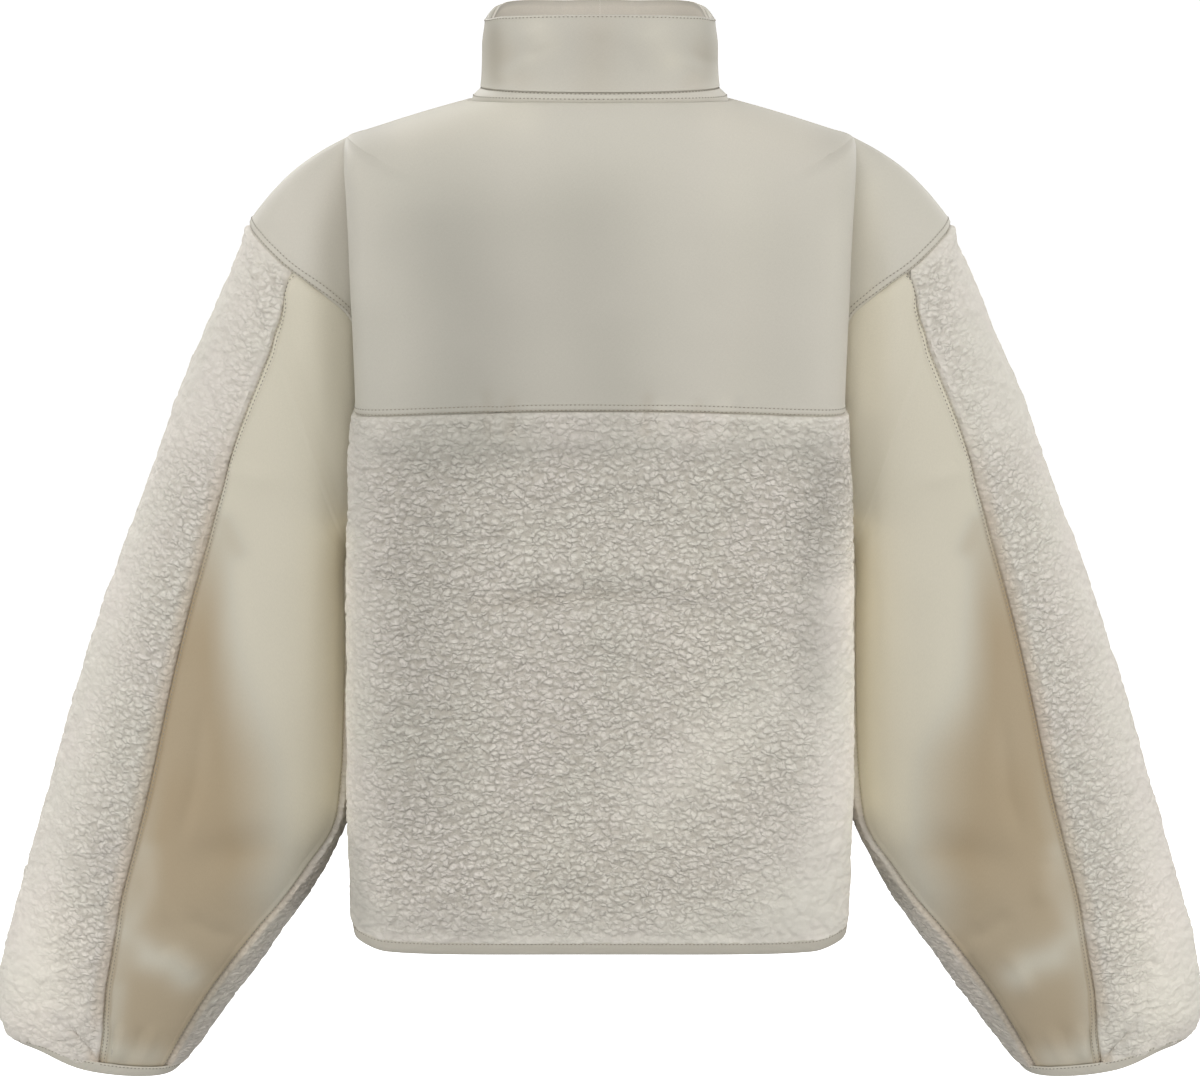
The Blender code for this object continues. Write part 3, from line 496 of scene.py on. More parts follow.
def cloth_piece(node, patches, finish, step):
    """Closed piece of cloth: a fine outer face over a coarse inner face that share their border.

    Each patch gives base points, turn, normals, lift of the outer face over the base, marks and uv.
    The outer face is base + lift * normal; where lift is 0, at the border, both faces meet. The
    inner face is the back of the knit.
    """
    points, quads, quad_uv, rings, ring_uv, count = [], [], [], [], [], 0
    marks = {mark: [] for mark in patches[0]["marks"]}
    for patch in patches:
        base, lift = patch["base"], patch["lift"]
        rows, cols = lift.shape
        outer = base + patch["normal"] * lift[..., None]
        patch["outer"] = outer
        for layer in (outer, base):
            points.append(layer.reshape(-1, 3))
            for mark, values in patch["marks"].items():
                marks[mark].append(values.reshape(-1) if layer is outer else np.zeros(rows * cols))
        number = count + np.arange(rows * cols).reshape(rows, cols)
        quad = np.stack([number[:-1, :-1], number[:-1, 1:], number[1:, 1:], number[1:, :-1]], -1)
        if patch["turn"] > 0:
            quad = quad[..., ::-1]
        quads.append(quad.reshape(-1, 4))
        uv = patch["uv"].reshape(-1, 2)
        quad_uv.append(uv[quads[-1] - count])
        inner = inner_faces(number + rows * cols, step)
        if patch["turn"] < 0:
            inner = [face[::-1] for face in inner]
        rings += inner
        ring_uv += [uv[face - count - rows * cols] for face in inner]
        count += 2 * rows * cols
    points = np.concatenate(points)
    _, first, place = np.unique(np.round(points / 0.004 + 0.137).astype(np.int64), axis=0,
                                return_index=True, return_inverse=True)
    place = place.reshape(-1)
    quads, quad_uv = place[np.concatenate(quads)], np.concatenate(quad_uv)
    whole = (quads != np.roll(quads, 1, axis=1)).all(axis=1)
    faces = [row[row != np.roll(row, 1)] for row in quads[~whole]]
    face_uv = [line[row != np.roll(row, 1)] for row, line in zip(quads[~whole], quad_uv[~whole])]
    for ring, line in zip(rings, ring_uv):
        ring = place[ring]
        keep = ring != np.roll(ring, 1)
        if keep.sum() > 2:
            faces.append(ring[keep])
            face_uv.append(line[keep])
    outer_count = len(whole) - sum(len(face) < 3 for face in faces[:(~whole).sum()])
    kept = [k for k, face in enumerate(faces) if len(face) > 2]
    faces, face_uv = [faces[k] for k in kept], [face_uv[k] for k in kept]
    corners = np.concatenate([quads[whole].reshape(-1)] + faces)
    sizes = np.concatenate([np.full(whole.sum(), 4), [len(face) for face in faces]])
    uv = np.concatenate([quad_uv[whole].reshape(-1, 2)] + face_uv)
    used, corners = np.unique(corners, return_inverse=True)
    finish_of = np.arange(len(sizes)) >= outer_count
    marks = {mark: np.concatenate(values)[first][used] for mark, values in marks.items()}
    obj = add_mesh("cloth_" + node, points[first][used], corners.reshape(-1), sizes.astype(int),
                   [finish, KNIT_BACK], uv, finish_of, marks)
    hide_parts(node)


# sizes in mm of the trims, the pile's clumps, the cloth walls and the stitches
ZIP_EDGE = 5.0          # each front edge stands this far from the centre line
BINDING_HEIGHT = 8.0
BINDING_OUT = 4.62      # its outer leaf over the line of the cut edge
COLLAR_STAND = 4.3      # the collar's front quarters stand this much higher
COLLAR_CORNER = 2.2     # its top corners are rounded down by this much
COLLAR_ROLL = 1.75      # radius of its rolled top edge
TAPE_WIDTH = 14.0
CLUMP_WIDE = 9.0
CLUMP_HIGH = 7.4
PILE_LOW = 3.3          # pile height in the hollows, over the knit's inner face
PILE_RISE = 1.9         # from the hollows to the tops
SMOOTH = 1.7            # the smooth cloth's outer face over its inner face
PRESSED_PILE = 1.9      # the pile under a binding
OVER_HEM = 2.6          # how far the pile swells over the hem binding
OVER_CUFF = 5.2         # and over the cuff bindings
STITCH_LONG = 1.6
STITCH_WIDE = 0.8
SEAM_ROLL = 1.5         # how far in from a seam the smooth cloth rounds up to its full thickness
STRAIGHT_DOWN = (0, 0, -1)

# folds placed from the photograph: side (1 back, -1 front), width, height, line (x, z)
FOLDS = [
    # back panel
    (1, 13.0, 2.6, [(96, -334), (49, -327), (-7, -325), (-94, -333)]),
    (1, 9.4, -2.4, [(87, -353), (0, -346), (-98, -353)]),
    (1, 12.2, -1.8, [(-165, -237), (-150, -300), (-138, -364), (-142, -425)]),
    (1, 17.3, 2.6, [(-117, -247), (-107, -329), (-103, -425)]),
    (1, 24.5, 2.2, [(142, -451), (123, -515), (90, -569)]),
    (1, 17.3, -1.8, [(104, -400), (80, -486)]),
    (1, 21.6, 2.0, [(-8, -459), (-70, -492), (-136, -545)]),
    (1, 10.1, -1.6, [(28, -389), (-28, -398), (-70, -421)]),
    (1, 11.5, 1.7, [(142, -265), (111, -288), (56, -293)]),
    (1, 11.5, -1.8, [(159, -322), (133, -350), (112, -393)]),
    (1, 14.4, -1.8, [(28, -524), (-28, -544), (-85, -584)]),
    (1, 10.8, 1.8, [(56, -258), (0, -265), (-62, -252)]),
    # yoke
    (1, 4.3, -0.9, [(82, -209), (80, -234)]),
    (1, 4.3, 0.9, [(70, -203), (67, -234)]),
    (1, 3.6, -0.8, [(58, -210), (60, -234)]),
    (1, 4.3, -0.8, [(-32, -205), (-28, -234)]),
    (1, 4.3, 0.8, [(-46, -209), (-44, -234)]),
    (1, 4.3, -0.7, [(-64, -212), (-61, -234)]),
    (1, 5.0, 0.8, [(-84, -208), (-82, -234)]),
    (1, 4.3, -0.7, [(-102, -212), (-98, -234)]),
    (1, 3.6, -0.6, [(7, -215), (8, -234)]),
    (1, 3.6, 0.6, [(28, -216), (26, -234)]),
    (1, 3.6, -0.6, [(118, -212), (115, -233)]),
    (1, 4.3, 0.6, [(-132, -209), (-130, -234)]),
    (1, 20.2, 2.0, [(3, -129), (-17, -167), (-40, -215)]),
    (1, 24.5, -2.2, [(58, -63), (39, -132), (28, -201)]),
    (1, 10.8, -2.2, [(-165, -53), (-153, -105), (-143, -164)]),
    (1, 21.6, 1.8, [(-104, -32), (-105, -112), (-102, -195)]),
    (1, 21.6, 1.5, [(124, -20), (118, -94)]),
    (1, 13.0, -1.4, [(139, -77), (149, -139), (144, -195)]),
    (1, 11.5, 1.3, [(100, -160), (55, -215)]),
    (1, 15.8, -1.3, [(-62, -80), (-73, -160)]),
    (1, 10.1, -1.2, [(28, -22), (-27, -29), (-69, -22)]),
    # collar
    (1, 10.8, 1.3, [(46, 46), (39, 28)]),
    (1, 12.2, 1.4, [(-36, 44), (-50, 19)]),
    (1, 11.5, -1.3, [(1, 45), (4, 6)]),
    (1, 8.6, -1.1, [(65, 22), (53, 4)]),
    (1, 7.9, -1.2, [(-73, 26), (-62, 5)]),
    (1, 4.3, 0.9, [(68, 13), (44, 24)]),
    (1, 4.3, 0.8, [(-71, 15), (-47, 23)]),
    (1, 8.6, -0.9, [(-14, 37), (-28, 6)]),
    # sleeves seen from behind
    (1, 10.1, -1.6, [(178, -50), (183, -117), (183, -187), (186, -267)]),
    (1, 10.8, -1.5, [(-176, -70), (-186, -152), (-189, -216), (-184, -281)]),
    (1, 9.4, 1.6, [(201, -68), (206, -145), (203, -216)]),
    (1, 9.4, 1.5, [(-203, -85), (-208, -159), (-203, -237)]),
    (1, 28.8, 3.0, [(210, -287), (218, -390), (228, -487)]),
    (1, 15.8, -2.4, [(267, -287), (266, -361), (264, -446), (259, -531)]),
    (1, 15.8, -2.4, [(306, -557), (266, -547), (219, -537)]),
    (1, 6.5, 1.6, [(324, -551), (318, -581), (312, -603)]),
    (1, 7.9, 1.8, [(314, -617), (304, -630), (294, -644)]),
    (1, 7.2, -1.6, [(302, -593), (280, -609), (260, -614)]),
    (1, 6.5, -1.5, [(282, -426), (290, -494), (305, -546)]),
    (1, 7.2, 1.2, [(272, -237), (257, -266), (219, -277)]),
    (1, 28.8, 2.9, [(-211, -294), (-219, -397), (-231, -494)]),
    (1, 15.8, -2.4, [(-267, -287), (-265, -361), (-262, -446), (-256, -532)]),
    (1, 15.8, -2.3, [(-222, -538), (-268, -549), (-306, -559)]),
    (1, 6.5, 1.5, [(-291, -619), (-304, -636), (-315, -663)]),
    (1, 7.2, 1.5, [(-321, -554), (-316, -587)]),
    (1, 7.2, -1.6, [(-299, -591), (-280, -608), (-263, -614)]),
    (1, 6.5, 1.3, [(-271, -237), (-255, -266), (-219, -277)]),
    (1, 6.5, -1.4, [(-284, -426), (-293, -501), (-307, -546)]),
    (1, 8.6, -2.2, [(316, -286), (332, -332), (344, -379)]),
    (1, 14.4, 2.2, [(357, -475), (371, -531), (389, -591)]),
    (1, 3.6, -2.6, [(389, -678), (378, -692), (366, -707)]),
    (1, 10.1, -2.2, [(-368, -487), (-389, -538), (-400, -591)]),
    (1, 13.0, 2.0, [(-316, -303), (-334, -361), (-348, -426)]),
    (1, 3.6, -2.4, [(-388, -681), (-378, -694), (-368, -709)]),
    (1, 11.5, -1.8, [(392, -609), (384, -643), (395, -669)]),
    (1, 8.6, -1.8, [(-398, -624), (-387, -654)]),
    (1, 2.9, -1.8, [(354, -677), (358, -713)]),
    (1, 3.6, 1.7, [(348, -678), (353, -713)]),
    (1, 4.3, -1.4, [(334, -680), (344, -713)]),
    (1, 4.3, 1.5, [(325, -681), (334, -712)]),
    (1, 2.9, -1.8, [(-357, -678), (-360, -713)]),
    (1, 3.6, 1.7, [(-350, -677), (-355, -713)]),
    (1, 4.3, -1.4, [(-337, -678), (-347, -713)]),
    (1, 4.3, 1.5, [(-327, -683), (-337, -712)]),
    (1, 6.5, -1.6, [(245, -96), (223, -145)]),
    (1, 7.2, 1.4, [(254, -145), (233, -196)]),
    (1, 6.5, -1.5, [(-246, -101), (-228, -149)]),
    # front, placed to match: it isn't in the photograph
    (-1, 18.0, 2.2, [(58, -250), (74, -330), (98, -410)]),
    (-1, 13.0, -2.4, [(128, -232), (96, -316), (70, -402)]),
    (-1, 15.0, 2.0, [(-62, -244), (-84, -342), (-90, -430)]),
    (-1, 12.0, -2.2, [(-130, -240), (-108, -330), (-60, -392)]),
    (-1, 16.0, -2.0, [(120, -430), (70, -492), (40, -560)]),
    (-1, 17.0, 2.0, [(-130, -450), (-80, -520), (-50, -580)]),
    (-1, 13.0, 1.6, [(30, -300), (26, -420), (34, -540)]),
    (-1, 12.0, -1.5, [(-34, -330), (-30, -450), (-26, -560)]),
    (-1, 12.0, -1.8, [(60, -120), (90, -160), (130, -180)]),
    (-1, 12.0, -1.8, [(-64, -126), (-92, -162), (-134, -186)]),
    (-1, 20.0, 2.6, [(236, -230), (262, -330), (300, -420)]),
    (-1, 13.0, -2.6, [(210, -360), (262, -412), (330, -430)]),
    (-1, 13.0, -2.4, [(250, -470), (300, -500), (352, -508)]),
    (-1, 18.0, 2.2, [(300, -540), (350, -600)]),
    (-1, 20.0, 2.6, [(-240, -220), (-270, -320), (-306, -430)]),
    (-1, 13.0, -2.6, [(-212, -372), (-270, -420), (-338, -436)]),
    (-1, 13.0, -2.4, [(-256, -480), (-310, -506), (-360, -516)]),
    (-1, 16.0, 2.0, [(-310, -560), (-366, -610)]),
]

# reach of the wedge of painted shade, browner, from the outer seam at each height down the smooth sleeve
# back
SHADE_WEDGE_DOWN = (286.0, 317.0, 361.0, 404.0, 447.0, 490.0, 519.0, 548.0, 577.0, 606.0, 640.0)
SHADE_WEDGE_REACH = (-22.0, 22.0, 42.0, 59.0, 78.0, 95.0, 105.0, 121.0, 112.0, 118.0, 150.0)

# soft spots of painted shade, browner, and below 0 of painted light, paler, on the smooth cloth and pile:
# side, width, amount, line
SHADES = [
    (1, 13.0, -0.22, [(-187, -75), (-191, -145), (-191, -216)]),
    (1, 7.9, -0.30, [(324, -546), (325, -572), (335, -596)]),
    (1, 12.2, -0.72, [(327, -626), (310, -632), (301, -642)]),
    (1, 6.5, -0.20, [(349, -651), (356, -684)]),
    (1, 7.9, -0.25, [(-326, -546), (-327, -572), (-337, -596)]),
    (1, 12.2, -0.68, [(-329, -626), (-312, -632), (-303, -642)]),
    (1, 7.2, 0.30, [(264, -303), (255, -323)]),
    (1, 7.2, 0.28, [(-266, -303), (-258, -321)]),
    (1, 18.7, -0.50, [(186, -317), (186, -426), (188, -509)]),
    (1, 10.8, -0.60, [(181, -310), (182, -426), (184, -509)]),
    (1, 18.7, -0.30, [(191, -515), (204, -532)]),
    (1, 18.7, -0.50, [(-188, -317), (-188, -426), (-190, -509)]),
    (1, 10.8, -0.50, [(-184, -310), (-184, -426), (-186, -509)]),
    (1, 18.7, -0.30, [(-193, -515), (-207, -532)]),
    (1, 24.5, -0.12, [(-96, -63), (-99, -139), (-94, -202)]),
    (1, 17.3, -0.26, [(134, -25), (83, -15), (55, -14)]),
    (1, 17.3, -0.18, [(-85, -18), (-137, -30)]),
    (1, 18.7, -0.10, [(-165, -98), (-170, -195)]),
    (1, 5.0, 0.14, [(79, -205), (78, -231)]),
    (1, 4.3, -0.10, [(84, -208), (83, -231)]),
    (1, 4.3, 0.14, [(62, -209), (62, -231)]),
    (1, 4.3, 0.14, [(-33, -206), (-31, -231)]),
    (1, 4.3, -0.10, [(-42, -210), (-39, -231)]),
    (1, 5.0, 0.13, [(-69, -210), (-65, -231)]),
    (1, 4.3, -0.09, [(-87, -209), (-85, -231)]),
    (1, 4.3, 0.13, [(-96, -209), (-92, -231)]),
    (1, 10.8, -0.22, [(43, 46), (37, 34)]),
    (1, 11.5, -0.20, [(-38, 40), (-47, 23)]),
    (1, 14.4, 0.12, [(0, 44), (3, 9)]),
    (1, 11.5, 0.14, [(64, 23), (55, 6)]),
    (1, 10.8, 0.16, [(-72, 26), (-67, 9)]),
    (1, 5.8, -0.16, [(66, 15), (47, 24)]),
    (1, 5.8, -0.14, [(-69, 16), (-50, 22)]),
    (1, 8.6, 0.20, [(75, 37), (73, 9)]),
    (1, 5.8, 0.30, [(394, -675), (367, -709)]),
    (1, 5.8, 0.30, [(-391, -678), (-368, -709)]),
    (1, 7.2, 0.12, [(84, -351), (0, -344), (-94, -351)]),
    (1, 8.6, -0.30, [(-173, -233), (-175, -322), (-176, -378)]),
    (1, 36.0, -0.12, [(42, -529), (-56, -529)]),
    (1, 32.4, -0.28, [(388, -609), (401, -669)]),
    (1, 32.4, -0.28, [(-390, -609), (-403, -669)]),
    (1, 36.0, -0.15, [(-63, -350), (-87, -464)]),
    (1, 11.5, -0.55, [(365, -697), (345, -706), (329, -709)]),
    (1, 11.5, -0.55, [(-367, -697), (-347, -706), (-331, -709)]),
    (1, 5.0, -0.30, [(362, -677), (365, -697)]),
    (1, 5.0, -0.30, [(-364, -677), (-367, -697)]),
    (1, 8.6, -0.30, [(347, -606), (334, -612)]),
    (1, 8.6, -0.30, [(-349, -606), (-336, -612)]),
    (-1, 16.0, 0.30, [(196, -140), (190, -230), (196, -330)]),
    (-1, 16.0, 0.30, [(-196, -140), (-190, -230), (-196, -330)]),
]

# where the curls' bump and their painted shade and highlight are faded, so the pile looks flatter and paler
FADED_CURL_SPOTS = [
    (1, 27.4, 0.75, [(-166, -350), (-170, -450), (-166, -588)]),
    (1, 43.2, 0.50, [(-134, -558), (-170, -588)]),
    (1, 17.3, 0.70, [(173, -244), (175, -421), (173, -588)]),
    (1, 18.7, 0.45, [(156, -586), (0, -593), (-156, -586)]),
    (1, 14.4, 0.45, [(153, -236), (0, -233), (-160, -236)]),
    (1, 37.4, 0.75, [(271, -118), (276, -166), (288, -216)]),
    (1, 37.4, 0.75, [(-274, -118), (-279, -166), (-291, -216)]),
    (1, 31.7, 0.60, [(414, -632), (394, -677)]),
    (1, 31.7, 0.60, [(-417, -632), (-396, -677)]),
    (1, 28.8, 0.35, [(-35, -493), (-112, -421)]),
]

# spots of painted dim shade, where the cloth is a little darker with no change of hue
PAINTED_DIM_SPOTS = [
    (1, 50.4, 0.84, [(103, -98), (90, -153), (90, -209)]),
    (1, 43.2, 0.52, [(7, -91), (-4, -160), (-4, -209)]),
    (1, 43.2, 0.22, [(-110, -105), (-111, -209)]),
    (1, 36.0, 0.25, [(280, -145), (288, -202)]),
    (1, 36.0, 0.20, [(-282, -145), (-290, -202)]),
    (1, 18.7, 0.25, [(162, -160), (163, -209)]),
    (1, 9.4, 0.45, [(166, -230), (170, -421), (168, -591)]),
    (1, 9.4, 0.40, [(153, -244), (0, -241), (-139, -243)]),
    (1, 38.9, 0.45, [(132, -258), (130, -350), (134, -493)]),
    (1, 15.8, 0.60, [(-155, -244), (-149, -322), (-149, -414)]),
    (1, 24.5, 0.32, [(69, 30), (0, 26), (-76, 30)]),
    (1, 18.7, 0.14, [(-28, -555), (42, -555)]),
    (1, 6.5, 0.35, [(75, 44), (73, 9)]),
    (1, 6.5, 0.25, [(-77, 44), (-76, 9)]),
    (1, 10.1, 0.20, [(279, -639), (288, -659), (303, -692)]),
    (1, 10.1, 0.20, [(-281, -639), (-291, -659), (-306, -692)]),
    (1, 4.3, 0.60, [(268, -630), (282, -654), (296, -677), (309, -697)]),
    (1, 4.3, 0.60, [(-270, -630), (-285, -654), (-298, -677), (-312, -697)]),
    (1, 18.7, 0.55, [(177, -579), (141, -586), (92, -588)]),
    (1, 17.3, 0.26, [(71, -589), (-14, -590), (-127, -588)]),
    (1, 31.7, 0.20, [(-141, -529), (-150, -584)]),
    (1, 13.0, 0.35, [(175, -537), (174, -569)]),
    (1, 7.2, 0.35, [(352, -709), (351, -719)]),
    (1, 7.2, 0.35, [(-354, -709), (-353, -719)]),
]


def fold_height(points, folds, taper=0.3):
    """Sum of the folds at the points: height * exp(-(distance / width)^2), eased off at the ends by taper.

    The distance is taken in the x z plane to a line of a few points, on the back or front only.
    """
    height = np.zeros(points.shape[:-1])
    plane = points[..., [0, 2]]
    for side, width, rise, line in folds:
        line = np.asarray(line, float)
        low, high = line.min(axis=0) - 3 * width, line.max(axis=0) + 3 * width
        near = ((plane > low) & (plane < high)).all(axis=-1) & (points[..., 1] * side > -25.0)
        if not near.any():
            continue
        p, depth = plane[near], points[..., 1][near]
        best = np.full(len(p), 1e9)
        share = np.zeros(len(p))
        run = run_of(line)
        for k in range(len(line) - 1):
            way = line[k + 1] - line[k]
            u = np.clip((p - line[k]) @ way / (way @ way), 0.0, 1.0)
            away = np.linalg.norm(p - line[k] - u[:, None] * way, axis=1)
            closer = away < best
            best = np.where(closer, away, best)
            share = np.where(closer, (run[k] + u * (run[k + 1] - run[k])) / run[-1], share)
        fade = 1.0 if taper is None else ease(share, -0.02, taper) * ease(1.0 - share, -0.02, taper)
        facing = ease(depth * side, -20.0, 12.0)
        height[near] += rise * np.exp(-(best / width) ** 2) * fade * facing
    return height


def tone_marks(points):
    """Attributes from the tables: shade, browner painted shade and paler painted light below 0; dim,
    painted shade that is only darker; relief where pile stands up."""
    shade = fold_height(points, SHADES, None)
    relief = 1.0 - np.clip(fold_height(points, FADED_CURL_SPOTS, None), 0.0, 0.9)
    dim = np.clip(fold_height(points, PAINTED_DIM_SPOTS, None), 0.0, 1.0)
    return {"shade": np.clip(shade, -1.0, 1.0), "relief": relief, "dim": dim}


def sleeve_wedge_shade(points, from_seam):
    """Painted shade of the smooth sleeve back: a wedge along the outer seam that widens to the whole
    sleeve.

    It is the smooth step of (reach at this height - distance from the outer seam).
    """
    down = -points[..., 2]
    reach = np.interp(down, SHADE_WEDGE_DOWN, SHADE_WEDGE_REACH) + 14.0 * (drift(points, 60.0, 71) - 0.5)
    # painted light: less painted shade beside the outer seam low on the sleeve
    painted_light = ease(down, 450.0, 560.0) * (1.0 - ease(from_seam, 0.0, 26.0))
    return ease(reach - from_seam, -34.0, 30.0) * (1.0 - 0.35 * painted_light) * ease(down, 270.0, 400.0) ** 0.6


def folded(base, normal, edges, folds):
    """Base points moved along their normals by the folds, still at the piece's own edges."""
    height = fold_height(base, folds) * ease(edges, 0.0, 6.0)
    return base + normal * height[..., None]


def pile_lift(points, edges, down, seed):
    """Height of the pile over its base, and its clump value.

    It is low + rise * clump value + soft lumps, rolled down to the seams as a quarter ellipse.
    """
    value = curls(points, down, seed)
    inside = ease(edges, 0.5, 11.0)
    lumps = drift(points, 14.0, seed + 20) + drift(points, 31.0, seed + 27) - 1.0
    full = PILE_LOW + PILE_RISE * (0.5 + (value - 0.5) * (0.5 + 0.5 * inside)) + 1.5 * lumps * inside
    return full * rolled(edges, 2.0), value


def flat_uv(grid):
    """Cloth coordinates in mm: distance across from the middle column, and down."""
    across, down = steps(grid, 1), steps(grid, 0)
    return np.stack([across - across[:, [across.shape[1] // 2]], -down], -1)


def tube_uv(grid, normal, axis):
    """Cloth coordinates in mm round a tube, counted from its last column, and along its axis.

    Each step over the grid counts for as much of it as runs square to both axis and normal.
    """
    axis = axis / np.linalg.norm(axis)
    ways = np.cross(axis, normal)
    ways = ways / np.linalg.norm(ways, axis=-1, keepdims=True)
    down = np.sum(np.diff(grid, axis=0) * (ways[1:] + ways[:-1]) / 2, axis=-1)
    across = np.sum(np.diff(grid, axis=1) * (ways[:, 1:] + ways[:, :-1]) / 2, axis=-1)
    down = np.insert(np.cumsum(down, axis=0), 0, 0.0, axis=0)
    across = np.insert(np.cumsum(across, axis=1), 0, 0.0, axis=1)
    return np.stack([across - across[:, [-1]] + down[:, [-1]], -(grid @ axis)], -1)


def body_centre(grid):
    """Middle line of the body beside each cell of a grid."""
    middle = (grid[1:, 1:] + grid[:-1, :-1]) / 2
    return middle * np.array([0.0, 0.0, 1.0])


def row_centre(grid):
    """Middle of each row of points, for each cell of a grid."""
    centre = grid[:-1].mean(axis=1, keepdims=True)
    return np.broadcast_to(centre, (grid.shape[0] - 1, grid.shape[1] - 1, 3))


def sleeve_middle(ring):
    """Middle of the left sleeve at a ring."""
    outer_x, outer_z, inner_x, inner_z, middle_y, _, _ = columns(SLEEVE, ring)
    return np.stack([(outer_x + inner_x) / 2, middle_y, (outer_z + inner_z) / 2], -1)


def pile_panel(node, base, centre, down, seed, overhang, relief=1.0, painted_brown_shade=0.0, flat=None):
    """One panel of pile between its seams, pressed flat under the binding at its bottom edge.

    Down is the way the pile lies and overhang how far the pile swells over the binding's top edge;
    relief scales the curls' bump and painted shade, and painted_brown_shade is added to the painted shade.
    """
    turn = turn_of(base, centre)
    normal = normals_of(base, turn)
    top, bottom, left, right = edge_distances(base)
    edges = np.minimum(np.minimum(top, left), right)
    base = folded(base, normal, np.minimum(edges, bottom), FOLDS)
    normal = normals_of(base, turn)
    over = (bottom - BINDING_HEIGHT + overhang) * 1.5
    lift, value = pile_lift(base, np.minimum(edges, np.maximum(over, 0.0)), down, seed)
    pressed = PRESSED_PILE * rolled(np.minimum(edges, bottom), 1.6)
    lift = np.maximum(lift, pressed)
    # painted shade and light, and painted dim shade, from the tables
    marks = tone_marks(base)
    from_trim = np.minimum(edges, bottom - BINDING_HEIGHT)
    marks["relief"] = marks["relief"] * relief * (0.45 + 0.55 * ease(from_trim, 0.0, 9.0))
    marks["shade"] = np.clip(marks["shade"] + painted_brown_shade, -1.0, 1.0)
    marks["pile"] = value
    patch = {"base": base, "normal": normal, "lift": lift, "turn": turn, "marks": marks,
             "uv": flat_uv(base) if flat is None else flat}
    cloth_piece(node, [patch], PILE, INNER_STEP)


def sleeve_panel_grid(rows, cols, wrap):
    """Sleeve panel between its seams: rows run down from the armhole seam to the cuff.

    Each column starts at its own angle on the armhole seam; further down the columns share out the
    angle between the two long seams evenly. Rows are evenly spaced along the line halfway between
    the sleeve's middle and its outer edge, from near where the armhole seam crosses that edge.
    """
    low, high = OUTER_SEAM_PHI[0], UNDER_SEAM_PHI[0]
    if wrap:
        low, high = high, low + 360.0
    middle = SLEEVE[:, :2] + SLEEVE[:, 2:4]
    head = 4.0
    ring = np.linspace(head, CUFF_RING, 600)
    number = np.arange(len(SLEEVE))
    path = np.stack([through(number, middle[:, k] / 2, ring) for k in (0, 1)], -1)
    outer = np.stack([through(number, SLEEVE[:, k], ring) for k in (0, 1)], -1)
    length = run_of(path + outer)
    share = (np.interp(np.linspace(0.0, length[-1], rows), length, ring) - head) / (CUFF_RING - head)

    def place(phi, share):
        turned = np.where(phi > 180.0, phi - 360.0, phi)
        start = arm_seam(turned)
        ring = start + (CUFF_RING - start) * share
        outer = through(OUTER_SEAM_RING, OUTER_SEAM_PHI, np.maximum(ring, OUTER_SEAM_RING[0]))
        under = through(UNDER_SEAM_RING, UNDER_SEAM_PHI, ring)
        part = (phi - low) / (high - low)
        if wrap:
            angle = under + (outer + 360.0 - under) * part
        else:
            angle = outer + (under - outer) * part
        blend = ease(share, 0.0, 0.3)
        beside = ease(1.0 - np.minimum(part, 1.0 - part) / 0.14, 0.0, 1.0) * ease(share, 0.0, 0.05)
        whole = (part < 1e-9) | (part > 1.0 - 1e-9)
        blend = np.where(whole, 1.0, 1.0 - (1.0 - blend) * (1.0 - beside))
        return sleeve(ring, phi + (angle - phi) * blend)

    phi = np.linspace(low, high, 1201)
    length = steps(place(phi[None, :], share[:, None]), 1)
    length = length / length[:, -1:]
    level = np.linspace(0.0, 1.0, cols)
    shared_out = np.stack([np.interp(level, line, phi) for line in length])
    settle = ease(share, 0.0, 0.25)[:, None]
    columns_phi = shared_out[0][None, :] * (1.0 - settle) + shared_out * settle
    columns_phi[:, 0], columns_phi[:, -1] = low, high
    return place(columns_phi, share[:, None])


def build_body():
    """Back panel and the two front panels, each from just inside the yoke seam to the hem."""
    heights = BODY[:, 0]
    rings = even_rows(heights, PANEL_TOP, HEM_RING, BACK_GRID[0])
    left = even(body_back, rings, 0.0, 1.0, BACK_GRID[1])
    back = np.concatenate([left[:, ::-1], mirror(left)[:, 1:]], axis=1)
    pile_panel("back_panel", back, body_centre(back), STRAIGHT_DOWN, 3, OVER_HEM)
    rings = even_rows(heights, PANEL_TOP, HEM_RING, FRONT_GRID[0])
    front = even(body_front, rings, 0.0, 1.0, FRONT_GRID[1])
    front[..., 0] += ZIP_EDGE * (1.0 - ease(steps(front, 1), 0.0, 40.0))
    pile_panel("front_panel_left", front, body_centre(front), STRAIGHT_DOWN, 11, OVER_HEM)
    front = mirror(front)
    pile_panel("front_panel_right", front, body_centre(front), STRAIGHT_DOWN, 17, OVER_HEM)


